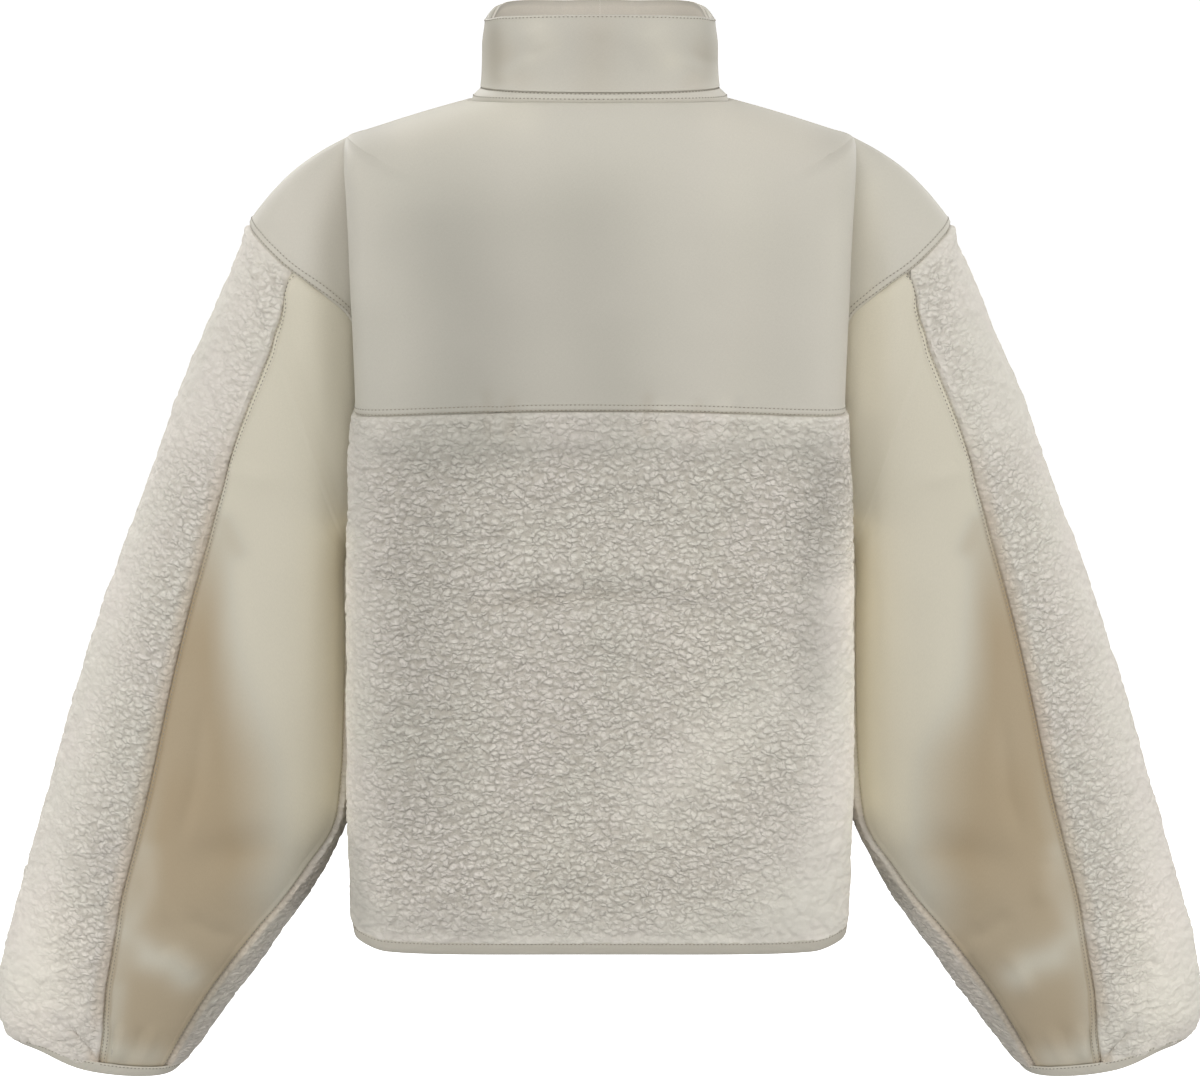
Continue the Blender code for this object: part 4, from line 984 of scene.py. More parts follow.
def build_sleeve_pile(side, turn, seed):
    """Outer, front and under side of a sleeve in one panel.

    It has painted shade near both long seams; along its outline the curls are flatter, their painted shade
    fainter.
    """
    grid = turn(sleeve_panel_grid(*SLEEVE_PILE_GRID, True))
    inside = sleeve_inside(grid, turn)
    flat = tube_uv(grid, normals_of(grid, turn_of(grid, inside)),
                   turn(sleeve_middle(17.0) - sleeve_middle(5.0)))
    from_under, from_outer = edge_distances(grid)[2:]
    down = -grid[..., 2]
    # painted shade beside the outer seam, and low down beside the under seam
    outer_seam_shade = 0.6 * (1.0 - ease(from_outer, 2.0, 15.0)) * ease(down, 190.0, 330.0)
    under_seam_shade = 0.5 * (1.0 - ease(from_under, 1.0, 6.0)) + 0.18 * (1.0 - ease(from_under, 10.0, 34.0))
    painted_brown_shade = outer_seam_shade + under_seam_shade * ease(down, 520.0, 620.0)
    # curls flatter, their painted shade fainter, along the outline and low beside the under seam
    relief = 1.0 - 0.75 * np.exp(-((from_outer - 84.0) / 38.0) ** 2) * ease(from_outer, 8.0, 45.0)
    relief = relief * (1.0 - 0.25 * ease(48.0 - from_under, 0.0, 20.0) * ease(down, 480.0, 560.0)) * 0.9
    lie = turn(np.array([0.42, 0.0, -0.9]))
    pile_panel("sleeve_%s_front" % side, grid, inside, lie, seed, OVER_CUFF, relief, painted_brown_shade, flat)


def build_sleeve_back(side, turn):
    """Smooth back of a sleeve, with a raised band beside each long seam and a wedge of painted shade."""
    grid = turn(sleeve_panel_grid(*SLEEVE_BACK_GRID, False))
    way = turn_of(grid, sleeve_inside(grid, turn))
    top, bottom, left, right = edge_distances(grid)
    seams = np.minimum(left, right)
    edges = np.minimum(np.minimum(top, bottom), seams)
    base = folded(grid, normals_of(grid, way), edges, FOLDS)
    lift = SMOOTH * rolled(edges, SEAM_ROLL) + 0.7 * seam_band(seams, 1.0, 4.6) * ease(edges, 0.0, 2.0)
    marks = tone_marks(base)
    down = -base[..., 2]
    # painted shade in the mottled wedge, painted light beside it, and on the band by the outer seam painted
    # shade low down and painted light above
    painted_brown_shade = sleeve_wedge_shade(base, left) * (0.88 + 0.12 * drift(base, 42.0, 83))
    amount = 0.98 - 0.14 * ease(down, 540.0, 610.0)
    seam_band_shade = (0.35 * ease(down, 230.0, 330.0) - 0.1) * seam_band(left, 0.4, 5.6)
    marks["shade"] = np.clip(marks["shade"] + amount * painted_brown_shade - 0.2 * (1.0 - painted_brown_shade) + seam_band_shade, -1.0, 1.0)
    marks["seam"] = left
    patch = {"base": base, "normal": normals_of(base, way), "lift": lift, "turn": way, "marks": marks,
             "uv": flat_uv(base)}
    cloth_piece("sleeve_%s_back" % side, [patch], SLEEVE_CLOTH, INNER_STEP)
    return patch


def build_sleeves():
    """Both sleeves; the patches of their smooth backs are given back for the stitching."""
    backs = []
    for side, turn, seed in (("left", np.copy, 23), ("right", mirror, 31)):
        build_sleeve_pile(side, turn, seed)
        backs.append(build_sleeve_back(side, turn))
    return backs


def seam_band(distance, low, high):
    """Strip between two rows of stitches: 1 inside it, eased to 0 over 1 mm at either side."""
    return ease(distance, low - 0.8, low + 0.4) * (1.0 - ease(distance, high - 0.4, high + 0.8))


def sleeve_inside(grid, turn):
    """Middle of the whole sleeve beside each row of cells; turn is mirror for the right sleeve."""
    line = turn(sleeve_middle(np.linspace(2.0, CUFF_RING, grid.shape[0] - 1)))
    return np.broadcast_to(line[:, None], (grid.shape[0] - 1, grid.shape[1] - 1, 3))


def nearest_edge(points, edge):
    """Distance from each point to the nearest point of an edge, worked out in blocks."""
    flat = points.reshape(-1, 3)
    out = np.empty(len(flat))
    for start in range(0, len(flat), 4000):
        block = flat[start:start + 4000]
        square = (block ** 2).sum(axis=1)[:, None] + (edge ** 2).sum(axis=1)[None, :] - 2 * block @ edge.T
        out[start:start + 4000] = np.sqrt(np.maximum(square, 0.0).min(axis=1))
    return out.reshape(points.shape[:-1])


def build_yoke():
    """Yoke over both shoulders: back, two fronts and two pairs of wings out to the armhole seams."""
    arm_row = YOKE_ROWS[0] - 1              # first row beside the wings
    side_row = arm_row + YOKE_ROWS[1]       # first row below them
    corner_ring = YOKE_RING - 1             # ring of their lower corners
    rings = np.concatenate([np.linspace(0.0, SHOULDER_RING, YOKE_ROWS[0]),
                            np.linspace(SHOULDER_RING, corner_ring, YOKE_ROWS[1])[1:],
                            np.linspace(corner_ring, YOKE_RING, YOKE_ROWS[2])[1:]])
    left = even(body_back, rings, 0.0, 1.0, YOKE_BACK_COLUMNS)
    back = np.concatenate([left[:, ::-1], mirror(left)[:, 1:]], axis=1)
    front = even(body_front, rings, 0.0, 1.0, YOKE_FRONT_COLUMNS)
    across = steps(front, 1)
    front[..., 0] += ZIP_EDGE * (1.0 - ease(across, 0.0, 40.0)) * (1.0 - ease(across, 60.0, 80.0))
    arm_rings = np.arange(SHOULDER_RING, YOKE_RING)
    phi = np.interp(rings[arm_row:side_row], arm_rings, ARM_PHI[:len(arm_rings)])
    share = np.linspace(0.0, 1.0, WING_ROWS)[:, None]
    wings = [sleeve(share * arm_seam(turned)[None, :], turned[None, :]) for turned in (phi, -phi)]
    grids = [back, front, mirror(front)] + wings + [mirror(wing) for wing in wings]
    inside = np.array([180.0, 0.0, -180.0])
    turns = [turn_of(grid, body_centre(grid)) for grid in grids[:3]]
    turns += [turn_of(wing, inside) for wing in wings]
    turns += [turn_of(mirror(wing), mirror(inside)) for wing in wings]
    seams = {
        "neck": [back[0], front[0], mirror(front[0])],
        "bottom": [back[-1], front[-1], mirror(front[-1])],
        "arm": [wings[0][-1], wings[1][-1], mirror(wings[0][-1]), mirror(wings[1][-1])],
        "side": [back[side_row:, 0], back[side_row:, -1], front[side_row:, -1],
                 mirror(front[side_row:, -1])],
        "zip": [front[:, 0], mirror(front[:, 0])],
    }
    seams = {name: np.concatenate(lines) for name, lines in seams.items()}
    normals = grid_normals(grids, turns)
    patches = []
    for grid, normal, turn in zip(grids, normals, turns):
        away = {name: nearest_edge(grid, line) for name, line in seams.items()}
        edges = np.minimum.reduce(list(away.values()))
        base = folded(grid, normal, edges, FOLDS)
        lift = SMOOTH * rolled(edges, SEAM_ROLL)
        lift = lift + 0.5 * seam_band(away["bottom"], 1.2, 5.0) + 0.5 * seam_band(away["arm"], 1.2, 5.6)
        # painted shade and light, and painted dim shade, from the tables; the seam distance places painted
        # shade in the stitch grooves
        marks = tone_marks(base)
        marks["seam"] = np.minimum(away["bottom"], away["arm"])
        patches.append({"base": base, "normal": normal, "lift": lift * (edges > 1e-6), "turn": turn,
                        "marks": marks, "uv": flat_uv(grid)})
    for patch, normal in zip(patches, grid_normals([p["base"] for p in patches], turns)):
        patch["normal"] = normal
    cloth_piece("yoke", patches, SMOOTH_CLOTH, INNER_STEP // 2)
    return patches


def sweep(node, sections, closed, finish, marks=None):
    """Closed rings of points joined one to the next; the ends are capped unless the path closes.

    The faces are turned to face out by the sign of the volume they enclose.
    """
    sections = np.asarray(sections, float)
    count, corners = sections.shape[:2]
    number = np.arange(count * corners).reshape(count, corners)
    ahead = np.roll(number, -1, axis=0) if closed else number[1:]
    here = number if closed else number[:-1]
    quads = np.stack([here, np.roll(here, -1, axis=1), np.roll(ahead, -1, axis=1), ahead], -1)
    quads = quads.reshape(-1, 4)
    points = sections.reshape(-1, 3)
    a, b, c, d = (points[quads[:, k]] for k in range(4))
    volume = np.sum(a * np.cross(b, c)) + np.sum(a * np.cross(c, d))
    way = -1 if volume < 0 else 1
    faces = [quads[:, ::way].reshape(-1)]
    sizes = [np.full(len(quads), 4)]
    if not closed:
        faces += [number[0][::-way], number[-1][::way]]
        sizes.append(np.array([corners, corners]))
    faces = np.concatenate(faces)
    across, along = np.meshgrid(run_of(sections.mean(axis=0)), run_of(sections.mean(axis=1)))
    layer = np.stack([along, across], -1).reshape(-1, 2)
    obj = add_mesh("cloth_" + node, points, faces, np.concatenate(sizes), [finish], layer[faces],
                   marks=marks, sharp=60.0)
    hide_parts(node)


def smoothed(lines, closed, times=3):
    """Ways along a path, each averaged with its neighbours."""
    for _ in range(times):
        if closed:
            lines = (np.roll(lines, 1, axis=0) + 2 * lines + np.roll(lines, -1, axis=0)) / 4
        else:
            lines = lines.copy()
            lines[1:-1] = (lines[:-2] + 2 * lines[1:-1] + lines[2:]) / 4
    return unit(lines)


def path_frame(edge, inside, middle, closed):
    """Ways into the cloth and out from it along a cut edge."""
    along = np.roll(edge, -1, axis=0) - np.roll(edge, 1, axis=0) if closed else np.gradient(edge, axis=0)
    into = smoothed(unit(inside - edge), closed)
    normal = unit(np.cross(along, into))
    normal = normal * np.sign(np.sum(normal * (edge - middle), axis=-1, keepdims=True))
    return into, smoothed(normal, closed)


def binding_profile():
    """Binding folded round a cut edge, as (out, up) points: a rounded U with a soft outer leaf."""
    angle = np.linspace(math.pi, 2 * math.pi, 9)
    low = np.stack([1.35 + 2.95 * np.cos(angle), 1.7 * np.sin(angle)], -1)
    outer = [(4.5, 1.2), (BINDING_OUT, 2.6), (BINDING_OUT, 4.0), (4.55, 5.4), (4.4, 6.7), (4.05, 7.6),
             (3.5, 7.95), (3.05, 7.6), (3.0, 6.0), (3.0, 0.2)]
    inner = [(1.35, -0.3), (-0.3, 0.2), (-0.3, 6.5), (-0.5, 7.8), (-1.2, 8.0), (-1.6, 7.4), (-1.75, 4.0)]
    return np.concatenate([low, outer, inner])


def bound_edge(node, edge, into, normal, closed, seed, finish):
    """Binding along an edge, gently uneven: each ring of points is pushed out and in by soft noise.

    Gives back the line of its outer leaf with the ways into the cloth and out of it.
    """
    profile = binding_profile()
    wave = drift(edge, 9.0, seed) - 0.5
    slow = drift(edge, 34.0, seed + 1) - 0.5
    outer = profile[:, 0] > 2.9
    out = profile[None, :, 0] + outer * (0.5 * wave + 0.4 * slow)[:, None] * (profile[None, :, 1] > 0.5)
    up = profile[None, :, 1] * (1.0 + 0.05 * slow[:, None])
    sections = edge[:, None] + normal[:, None] * out[..., None] + into[:, None] * up[..., None]
    sweep(node, sections, closed, finish)
    line = edge + normal * (BINDING_OUT + 0.5 * wave + 0.4 * slow)[:, None]
    return line, into, normal


def hem_path(ring):
    """Hem line from the left front edge round the back to the right front edge, evenly spaced."""
    places_back = spread(body_back, [HEM_RING], 0.0, 1.0, HALF_HEM_POINTS)[0]
    places_front = spread(body_front, [HEM_RING], 0.0, 1.0, HALF_HEM_POINTS)[0]
    back = body_back(ring, places_back)
    front = body_front(ring, places_front)[:-1][::-1]
    front[:, 0] += ZIP_EDGE * (1.0 - ease(front[:, 0], 0.0, 40.0))
    left = np.concatenate([back, front])
    return np.concatenate([left[::-1], mirror(left)[1:]])


def cuff_path(ring):
    """Left cuff line, closed, from the outer seam round, evenly spaced."""
    angle = OUTER_SEAM_PHI[-1] + np.linspace(0.0, 360.0, 2001)
    run = run_of(sleeve(CUFF_RING, angle))
    angle = np.interp(np.linspace(0.0, run[-1], CUFF_POINTS + 1)[:-1], run, angle)
    return sleeve(ring, angle)


def build_bindings():
    """Hem binding and both cuff bindings."""
    edge, inside = hem_path(HEM_RING), hem_path(HEM_RING - 0.3)
    into, normal = path_frame(edge, inside, np.array([0.0, 0.0, -600.0]), False)
    made = [bound_edge("hem_binding", edge, into, normal, False, 41, BINDING)]
    for side, turn, seed in (("left", np.copy, 43), ("right", mirror, 47)):
        edge, inside = turn(cuff_path(CUFF_RING)), turn(cuff_path(CUFF_RING - 0.5))
        into, normal = path_frame(edge, inside, edge.mean(axis=0), True)
        made.append(bound_edge("cuff_" + side, edge, into, normal, True, seed, CUFF_TAPE))
    return made


def collar_sides():
    """1 for each column of the collar's grid on the wearer's left, -1 on the right."""
    count = COLLAR_GRID[1]
    return np.where(np.arange(count) < count // 2, 1.0, -1.0)


def collar_grid(rings):
    """Collar surface from the left front edge round the back to the right, with ways out and up."""
    grid = even(collar, rings, -90.0, 270.0, COLLAR_GRID[1])
    from_zip = np.minimum(*edge_distances(grid)[2:])
    grid[..., 0] += collar_sides() * ZIP_EDGE * (1.0 - ease(from_zip, 0.0, 30.0))
    # the collar's front stands a little higher between its sides and the zip
    turn = np.degrees(np.arctan2(-grid[..., 1] - 8.0, np.abs(grid[..., 0])))
    stand = COLLAR_STAND * ease(turn, 0.0, 22.0) * (1.0 - ease(turn, 28.0, 76.0))
    ring = np.broadcast_to(np.asarray(rings)[:, None], turn.shape)
    grid[..., 2] += stand * ease(ring, 1.2, 4.0)
    # its top corners are rounded off at the sides
    beside = ease(np.abs(grid[..., 0]), 66.0, 84.0) * ease(ring, 3.0, 4.0)
    grid[..., 2] -= COLLAR_CORNER * beside
    grid[..., 0] *= 1.0 - 0.03 * beside
    normal = normals_of(grid, turn_of(grid, row_centre(grid)))
    return grid, normal, unit(np.gradient(grid, axis=0))


def build_neck_band():
    """Neck band: its rows bulge up the outside as an ellipse, then run down the inside."""
    grid, normal, up = collar_grid(np.linspace(0.05, 0.97, BAND_ROWS))
    share = np.linspace(0.0, 1.0, BAND_ROWS)
    edges = rolled(np.minimum(share, 1 - share) + 0.012, 0.22)
    bulge = 2.2 * edges + 0.7 * (1.0 - (2.0 * share - 1.0) ** 2)
    front = grid + normal * bulge[:, None, None]
    front[0] = grid[0] + normal[0] * 0.3 - up[0] * 2.2
    front[-1] = grid[-1] + normal[-1] * 2.0
    rows = np.concatenate([front, grid[1:-1][::-1] + normal[1:-1][::-1] * 0.1])
    sweep("neck_band", rows.transpose(1, 0, 2), False, SMOOTH_CLOTH)
    return front, normals_of(front, turn_of(front, row_centre(front)))


def build_collar(grid, normal, up, rise):
    """Collar's outer cloth: up its outer face, over the rolled top edge and down its inner face."""
    top, outward, upward = grid[-1], normal[-1], up[-1]
    ticks = 0.35 * (drift(top, 4.2, 55) - 0.5)[:, None]
    outer = grid + normal * (3.5 + rise)
    inner = grid + normal * (1.95 + rise * 0.9)
    foot = grid[0] + normal[0] * 2.1
    from_top = edge_distances(grid)[1].mean(axis=1)
    rows = [foot] + list(outer[from_top > 2.0])
    for angle in np.radians(np.linspace(12.0, 168.0, 9)):
        out = outward * (COLLAR_ROLL + (COLLAR_ROLL + ticks) * math.cos(angle))
        rows.append(top - upward * (COLLAR_ROLL - COLLAR_ROLL * math.sin(angle)) + out)
    rows += [top - upward * 3.6 + outward * 0.05, top - upward * 3.8 + outward * 1.2]
    # the inner face lies against the facing, so every second row does there
    rows += list(inner[from_top > 4.4][::-2])
    rows = np.stack(rows, axis=1)
    # painted shade and light, and painted dim shade, from the tables
    marks = {name: values.reshape(-1) for name, values in tone_marks(rows).items() if name != "relief"}
    sweep("collar", rows, False, SMOOTH_CLOTH, marks)
    return outer, normal


def build_facing(grid, normal, up, rise):
    """Facing inside the collar: it runs on to the centre line behind the zip and rises there."""
    from_zip = np.minimum(*edge_distances(grid)[2:])
    behind = (1.0 - ease(from_zip, 15.0, 32.0))[..., None]
    ahead = (1.0 - ease(from_zip, 112.0, 140.0))[..., None]
    tall = edge_distances(grid)[1].mean(axis=1) > 3.9
    last = np.flatnonzero(tall)[-1]
    lift = (grid[-1] - grid[last] + up[-1] * 0.9) * ease(steps(grid, 0), 25.0, 60.0)[..., None]
    base = grid - normal * np.maximum(4.2 * behind, 1.9 * ahead) + lift * ahead
    base[..., 0] = base[..., 0] - collar_sides() * (ZIP_EDGE - 0.05) * (1.0 - ease(from_zip, 0.0, 10.0))
    face = (base + normal * (rise * 0.7))[tall]
    back = (base + normal * (1.5 + rise * 0.7))[tall]
    rows = np.concatenate([face, back[::-1]])
    # painted dim shade along the facing's top rim
    rim_shade = 0.9 * (1.0 - ease(steps(face[::-1], 0)[::-1], 0.6, 4.0))
    rim_shade = np.concatenate([rim_shade, rim_shade[::-1]]).T.reshape(-1)
    sweep("collar_facing", rows.transpose(1, 0, 2), False, FACING, {"dim": rim_shade})


def build_neck():
    """Neck band, collar and facing; the outer faces of the first two are given back for the stitching."""
    band = build_neck_band()
    grid, normal, up = collar_grid(np.linspace(1.0, 4.0, COLLAR_GRID[0]))
    from_foot, from_top, _, _ = edge_distances(grid)
    soft = ease(from_foot, 0.0, 5.0) * ease(from_top, 0.0, 4.0)
    rise = (fold_height(grid, FOLDS) * soft)[..., None]
    collar_face = build_collar(grid, normal, up, rise)
    build_facing(grid, normal, up, rise)
    return band, collar_face


def zip_line(count):
    """Centre front line, hem to collar top, evenly spaced, with the ways along it and into the jacket."""
    rings = np.linspace(HEM_RING - 0.5, 0.15, 500)
    rows = np.concatenate([body_front(rings, 0.0), collar(np.linspace(0.1, 3.9, 160), 270.0)])
    run = run_of(rows)
    line = at_runs(np.linspace(0.0, run[-1], count), run, rows)
    line[:, 0] = 0.0
    along = smoothed(np.gradient(line, axis=0), False, 12)
    back = unit(np.stack([np.zeros(count), along[:, 2], -along[:, 1]], -1))
    return line, along, back * np.sign(back[:, 1:2])


def build_zip():
    """Woven tapes behind the front edges and the moulded teeth between them, in turn left and right."""
    line, _, back = zip_line(TAPE_POINTS)
    profile = [(0.3, 0.5), (1.6, 0.45), (2.2, 0.5), (6.0, 1.1), (10.0, 1.7), (TAPE_WIDTH, 2.5),
               (TAPE_WIDTH, 3.3), (10.0, 2.5), (6.0, 1.9), (0.3, 1.4)]
    for side, sign in (("left", 1.0), ("right", -1.0)):
        across = np.array([sign, 0.0, 0.0])
        rows = np.stack([line + across * a + back * b for a, b in profile], 1)
        sweep("zip_tape_" + side, rows, False, TAPE)
    line, along, back = (rows[3:-6] for rows in zip_line(TEETH))
    sign = np.where(np.arange(len(line)) % 2 == 0, 1.0, -1.0)
    across = np.stack([sign, 0 * sign, 0 * sign], -1)
    centre = line + back * 0.1 + across * 1.15
    block, faces = chamfered(np.array([3.9, 2.5, 1.9]), 0.35)
    points = (centre[:, None] + across[:, None] * block[None, :, 0:1] + back[:, None] * block[None, :, 1:2]
              + along[:, None] * block[None, :, 2:3])
    repeated("zip_teeth", points, faces, TOOTH)


def chamfered(size, edge):
    """Box with its edges cut off, as points and faces: each corner of the box has three points."""
    half = size / 2
    points = []
    for sx in (-1, 1):
        for sy in (-1, 1):
            for sz in (-1, 1):
                corner = np.array([sx, sy, sz])
                for k in range(3):
                    inset = np.full(3, edge)
                    inset[k] = 0.0
                    points.append(corner * (half - inset))
    points = np.array(points)
    number = np.arange(24).reshape(2, 2, 2, 3)
    faces = []
    for k in range(3):
        a, b = [m for m in range(3) if m != k]
        for s in (0, 1):
            ring = []
            for u, v in ((0, 0), (1, 0), (1, 1), (0, 1)):
                place = [0, 0, 0]
                place[k], place[a], place[b] = s, u, v
                ring.append(number[tuple(place)][k])
            faces.append(ring)
        for u in (0, 1):
            for v in (0, 1):
                low, high = [0, 0, 0], [0, 0, 0]
                low[a], low[b], high[a], high[b] = u, v, u, v
                high[k] = 1
                faces.append([number[tuple(low)][a], number[tuple(high)][a], number[tuple(high)][b],
                              number[tuple(low)][b]])
    for corner in np.ndindex(2, 2, 2):
        faces.append(list(number[corner]))
    out = []
    for face in faces:
        p = points[face]
        normal = np.cross(p[1] - p[0], p[2] - p[0])
        out.append(face if normal @ p.mean(axis=0) > 0 else face[::-1])
    return points, out


def repeated(name, points, faces, finish):
    """Many copies of one small shape in one mesh: points is (copies, corners, 3).

    A copy that is a mirror image of the first has its faces turned round.
    """
    copies, corners = points.shape[:2]
    first = points[0][faces[0]]
    facing = np.cross(first[1] - first[0], first[2] - first[0])
    way = -1 if facing @ (first.mean(axis=0) - points[0].mean(axis=0)) < 0 else 1
    flat = np.concatenate([face[::way] for face in faces])
    other = np.concatenate([face[::-way] for face in faces])
    handed = np.linalg.det(points[:, [1, 2, 3]] - points[:, [0]])
    turned = (handed * handed[0] < 0)[:, None]
    corner = np.where(turned, other[None, :], flat[None, :]) + np.arange(copies)[:, None] * corners
    sizes = np.tile([len(face) for face in faces], copies)
    obj = add_mesh(name, points.reshape(-1, 3), corner.reshape(-1), sizes, [finish], sharp=50.0)


def edge_line(patch, edge, inset):
    """Line on a patch's outer face at one distance from an edge, with the normals there."""
    pick = {"bottom": lambda g: g[::-1], "left": lambda g: g.swapaxes(0, 1),
            "right": lambda g: g.swapaxes(0, 1)[::-1]}[edge]
    base, outer, normal = pick(patch["base"]), pick(patch["outer"]), pick(patch["normal"])
    run = steps(base, 0)
    row = np.clip((run < inset).sum(axis=0), 1, len(base) - 1)
    col = np.arange(base.shape[1])
    low, high = run[row - 1, col], run[row, col]
    mix = np.clip((inset - low) / np.maximum(high - low, 1e-9), 0.0, 1.0)[:, None]
    line = outer[row - 1, col] * (1 - mix) + outer[row, col] * mix
    keep = run[-1] > inset * 1.5
    return line[keep], normal[row, col][keep]


def along_path(line, ways, pitch, start=0.4):
    """Points every pitch along a line, with the way along it and the way out of the cloth."""
    run = run_of(line)
    at = np.arange(start * pitch, run[-1] - 0.4 * pitch, pitch)
    along = unit(at_runs(at + 0.5 * pitch, run, line) - at_runs(at - 0.5 * pitch, run, line))
    out = unit(at_runs(at, run, ways))
    out = unit(out - along * np.sum(along * out, axis=-1, keepdims=True))
    return at_runs(at, run, line), along, out


def add_stitches(rows):
    """Rows of stitches: each is a small bead with pointed ends and a five-sided ring near each end."""
    points, along, out = (np.concatenate([row[k] for row in rows]) for k in range(3))
    across = np.cross(along, out)
    sides = 5
    angle = np.arange(sides) * 2 * math.pi / sides
    ring = [[(place, math.cos(a), math.sin(a)) for a in angle] for place in (-0.3, 0.3)]
    shape = np.array([(-0.5, 0.0, 0.0)] + ring[0] + ring[1] + [(0.5, 0.0, 0.0)])
    here = 1 + np.arange(sides)
    beside = 1 + (np.arange(sides) + 1) % sides
    faces = [[0, b, a] for a, b in zip(here, beside)]
    faces += [[a, b, b + sides, a + sides] for a, b in zip(here, beside)]
    faces += [[len(shape) - 1, a + sides, b + sides] for a, b in zip(here, beside)]
    lean = (chance(np.arange(len(points)), 1, 2, 3) - 0.5)[:, None, None] * 0.12
    along = along[:, None] + across[:, None] * lean
    beads = (points[:, None] + out[:, None] * 0.08 + along * (shape[None, :, 0:1] * STITCH_LONG)
             + across[:, None] * (shape[None, :, 1:2] * STITCH_WIDE * 0.5)
             + out[:, None] * (shape[None, :, 2:3] * STITCH_WIDE * 0.45))
    repeated("stitching", beads, faces, THREAD)


def build_stitching(yoke_patches, sleeve_backs, bindings, band_face, collar_face):
    """Every row of visible stitching, in one mesh."""
    rows = []

    def add(line, ways, start=0.4, pitch=3.0):
        rows.append(along_path(line, ways, pitch, start))

    for inset, wing_inset, start in ((1.3, 1.3, 0.4), (4.9, 5.2, 0.9)):
        for patch in yoke_patches[:3]:
            add(*edge_line(patch, "bottom", inset), start)
        for patch in yoke_patches[3:]:
            add(*edge_line(patch, "bottom", wing_inset), start)
    for patch in sleeve_backs:
        for inset, start in ((1.1, 0.4), (3.6, 0.9)):
            add(*edge_line(patch, "left", inset), start)
        add(*edge_line(patch, "right", 1.6))
    grid, ways = band_face
    add(grid[2], ways[2])
    add(grid[-3], ways[-3])
    grid, ways = collar_face
    height = steps(grid, 0).mean(axis=1)
    top = np.argmin(np.abs(height - (height[-1] - 2.4)))
    add(grid[top], ways[top])
    for line, into, normal in bindings:
        add(line + into * 6.6 - normal * 0.25, normal, pitch=2.8)
    add_stitches(rows)


class Term:
    """Shader socket that takes part in sums: each operator adds its Math node."""

    def __init__(self, paint, socket):
        self.paint = paint
        self.socket = socket

    def _math(self, operation, first, second):
        node = self.paint.node("ShaderNodeMath", {"operation": operation}, {0: first, 1: second})
        return Term(self.paint, node.outputs[0])

    def __add__(self, other):
        return self._math("ADD", self, other)

    __radd__ = __add__

    def __sub__(self, other):
        return self._math("SUBTRACT", self, other)

    def __rsub__(self, other):
        return self._math("SUBTRACT", other, self)

    def __mul__(self, other):
        return self._math("MULTIPLY", self, other)

    __rmul__ = __mul__

    def size(self):
        """The value without its sign."""
        node = self.paint.node("ShaderNodeMath", {"operation": "ABSOLUTE"}, {0: self})
        return Term(self.paint, node.outputs[0])

    def clipped(self):
        """The same value kept between 0 and 1."""
        node = self.paint.node("ShaderNodeMath", {"operation": "ADD", "use_clamp": True}, {0: self, 1: 0.0})
        return Term(self.paint, node.outputs[0])

    def step(self, low, high):
        """Smooth step from 0 at low to 1 at high."""
        node = self.paint.node("ShaderNodeMapRange", {"interpolation_type": "SMOOTHSTEP"},
                               {"Value": self, "From Min": low, "From Max": high})
        return Term(self.paint, node.outputs["Result"])


# size of one curl in mm, the pile's colours with its painted hollow shade, and the tints of painted shade,
# light and dim shade
CURL_WIDE = 4.7
CURL_HIGH = 3.8
PILE_PALE = (0.770, 0.738, 0.655, 1.0)
PILE_WARM = (0.785, 0.735, 0.668, 1.0)
PILE_HOLLOW_SHADE = (0.500, 0.462, 0.396, 1.0)
PAINTED_SHADE_TINT = (0.70, 0.580, 0.445, 1.0)
PAINTED_LIGHT_TINT = (1.40, 1.385, 1.33, 1.0)
PAINTED_DIM_TINT = (0.70, 0.705, 0.70, 1.0)


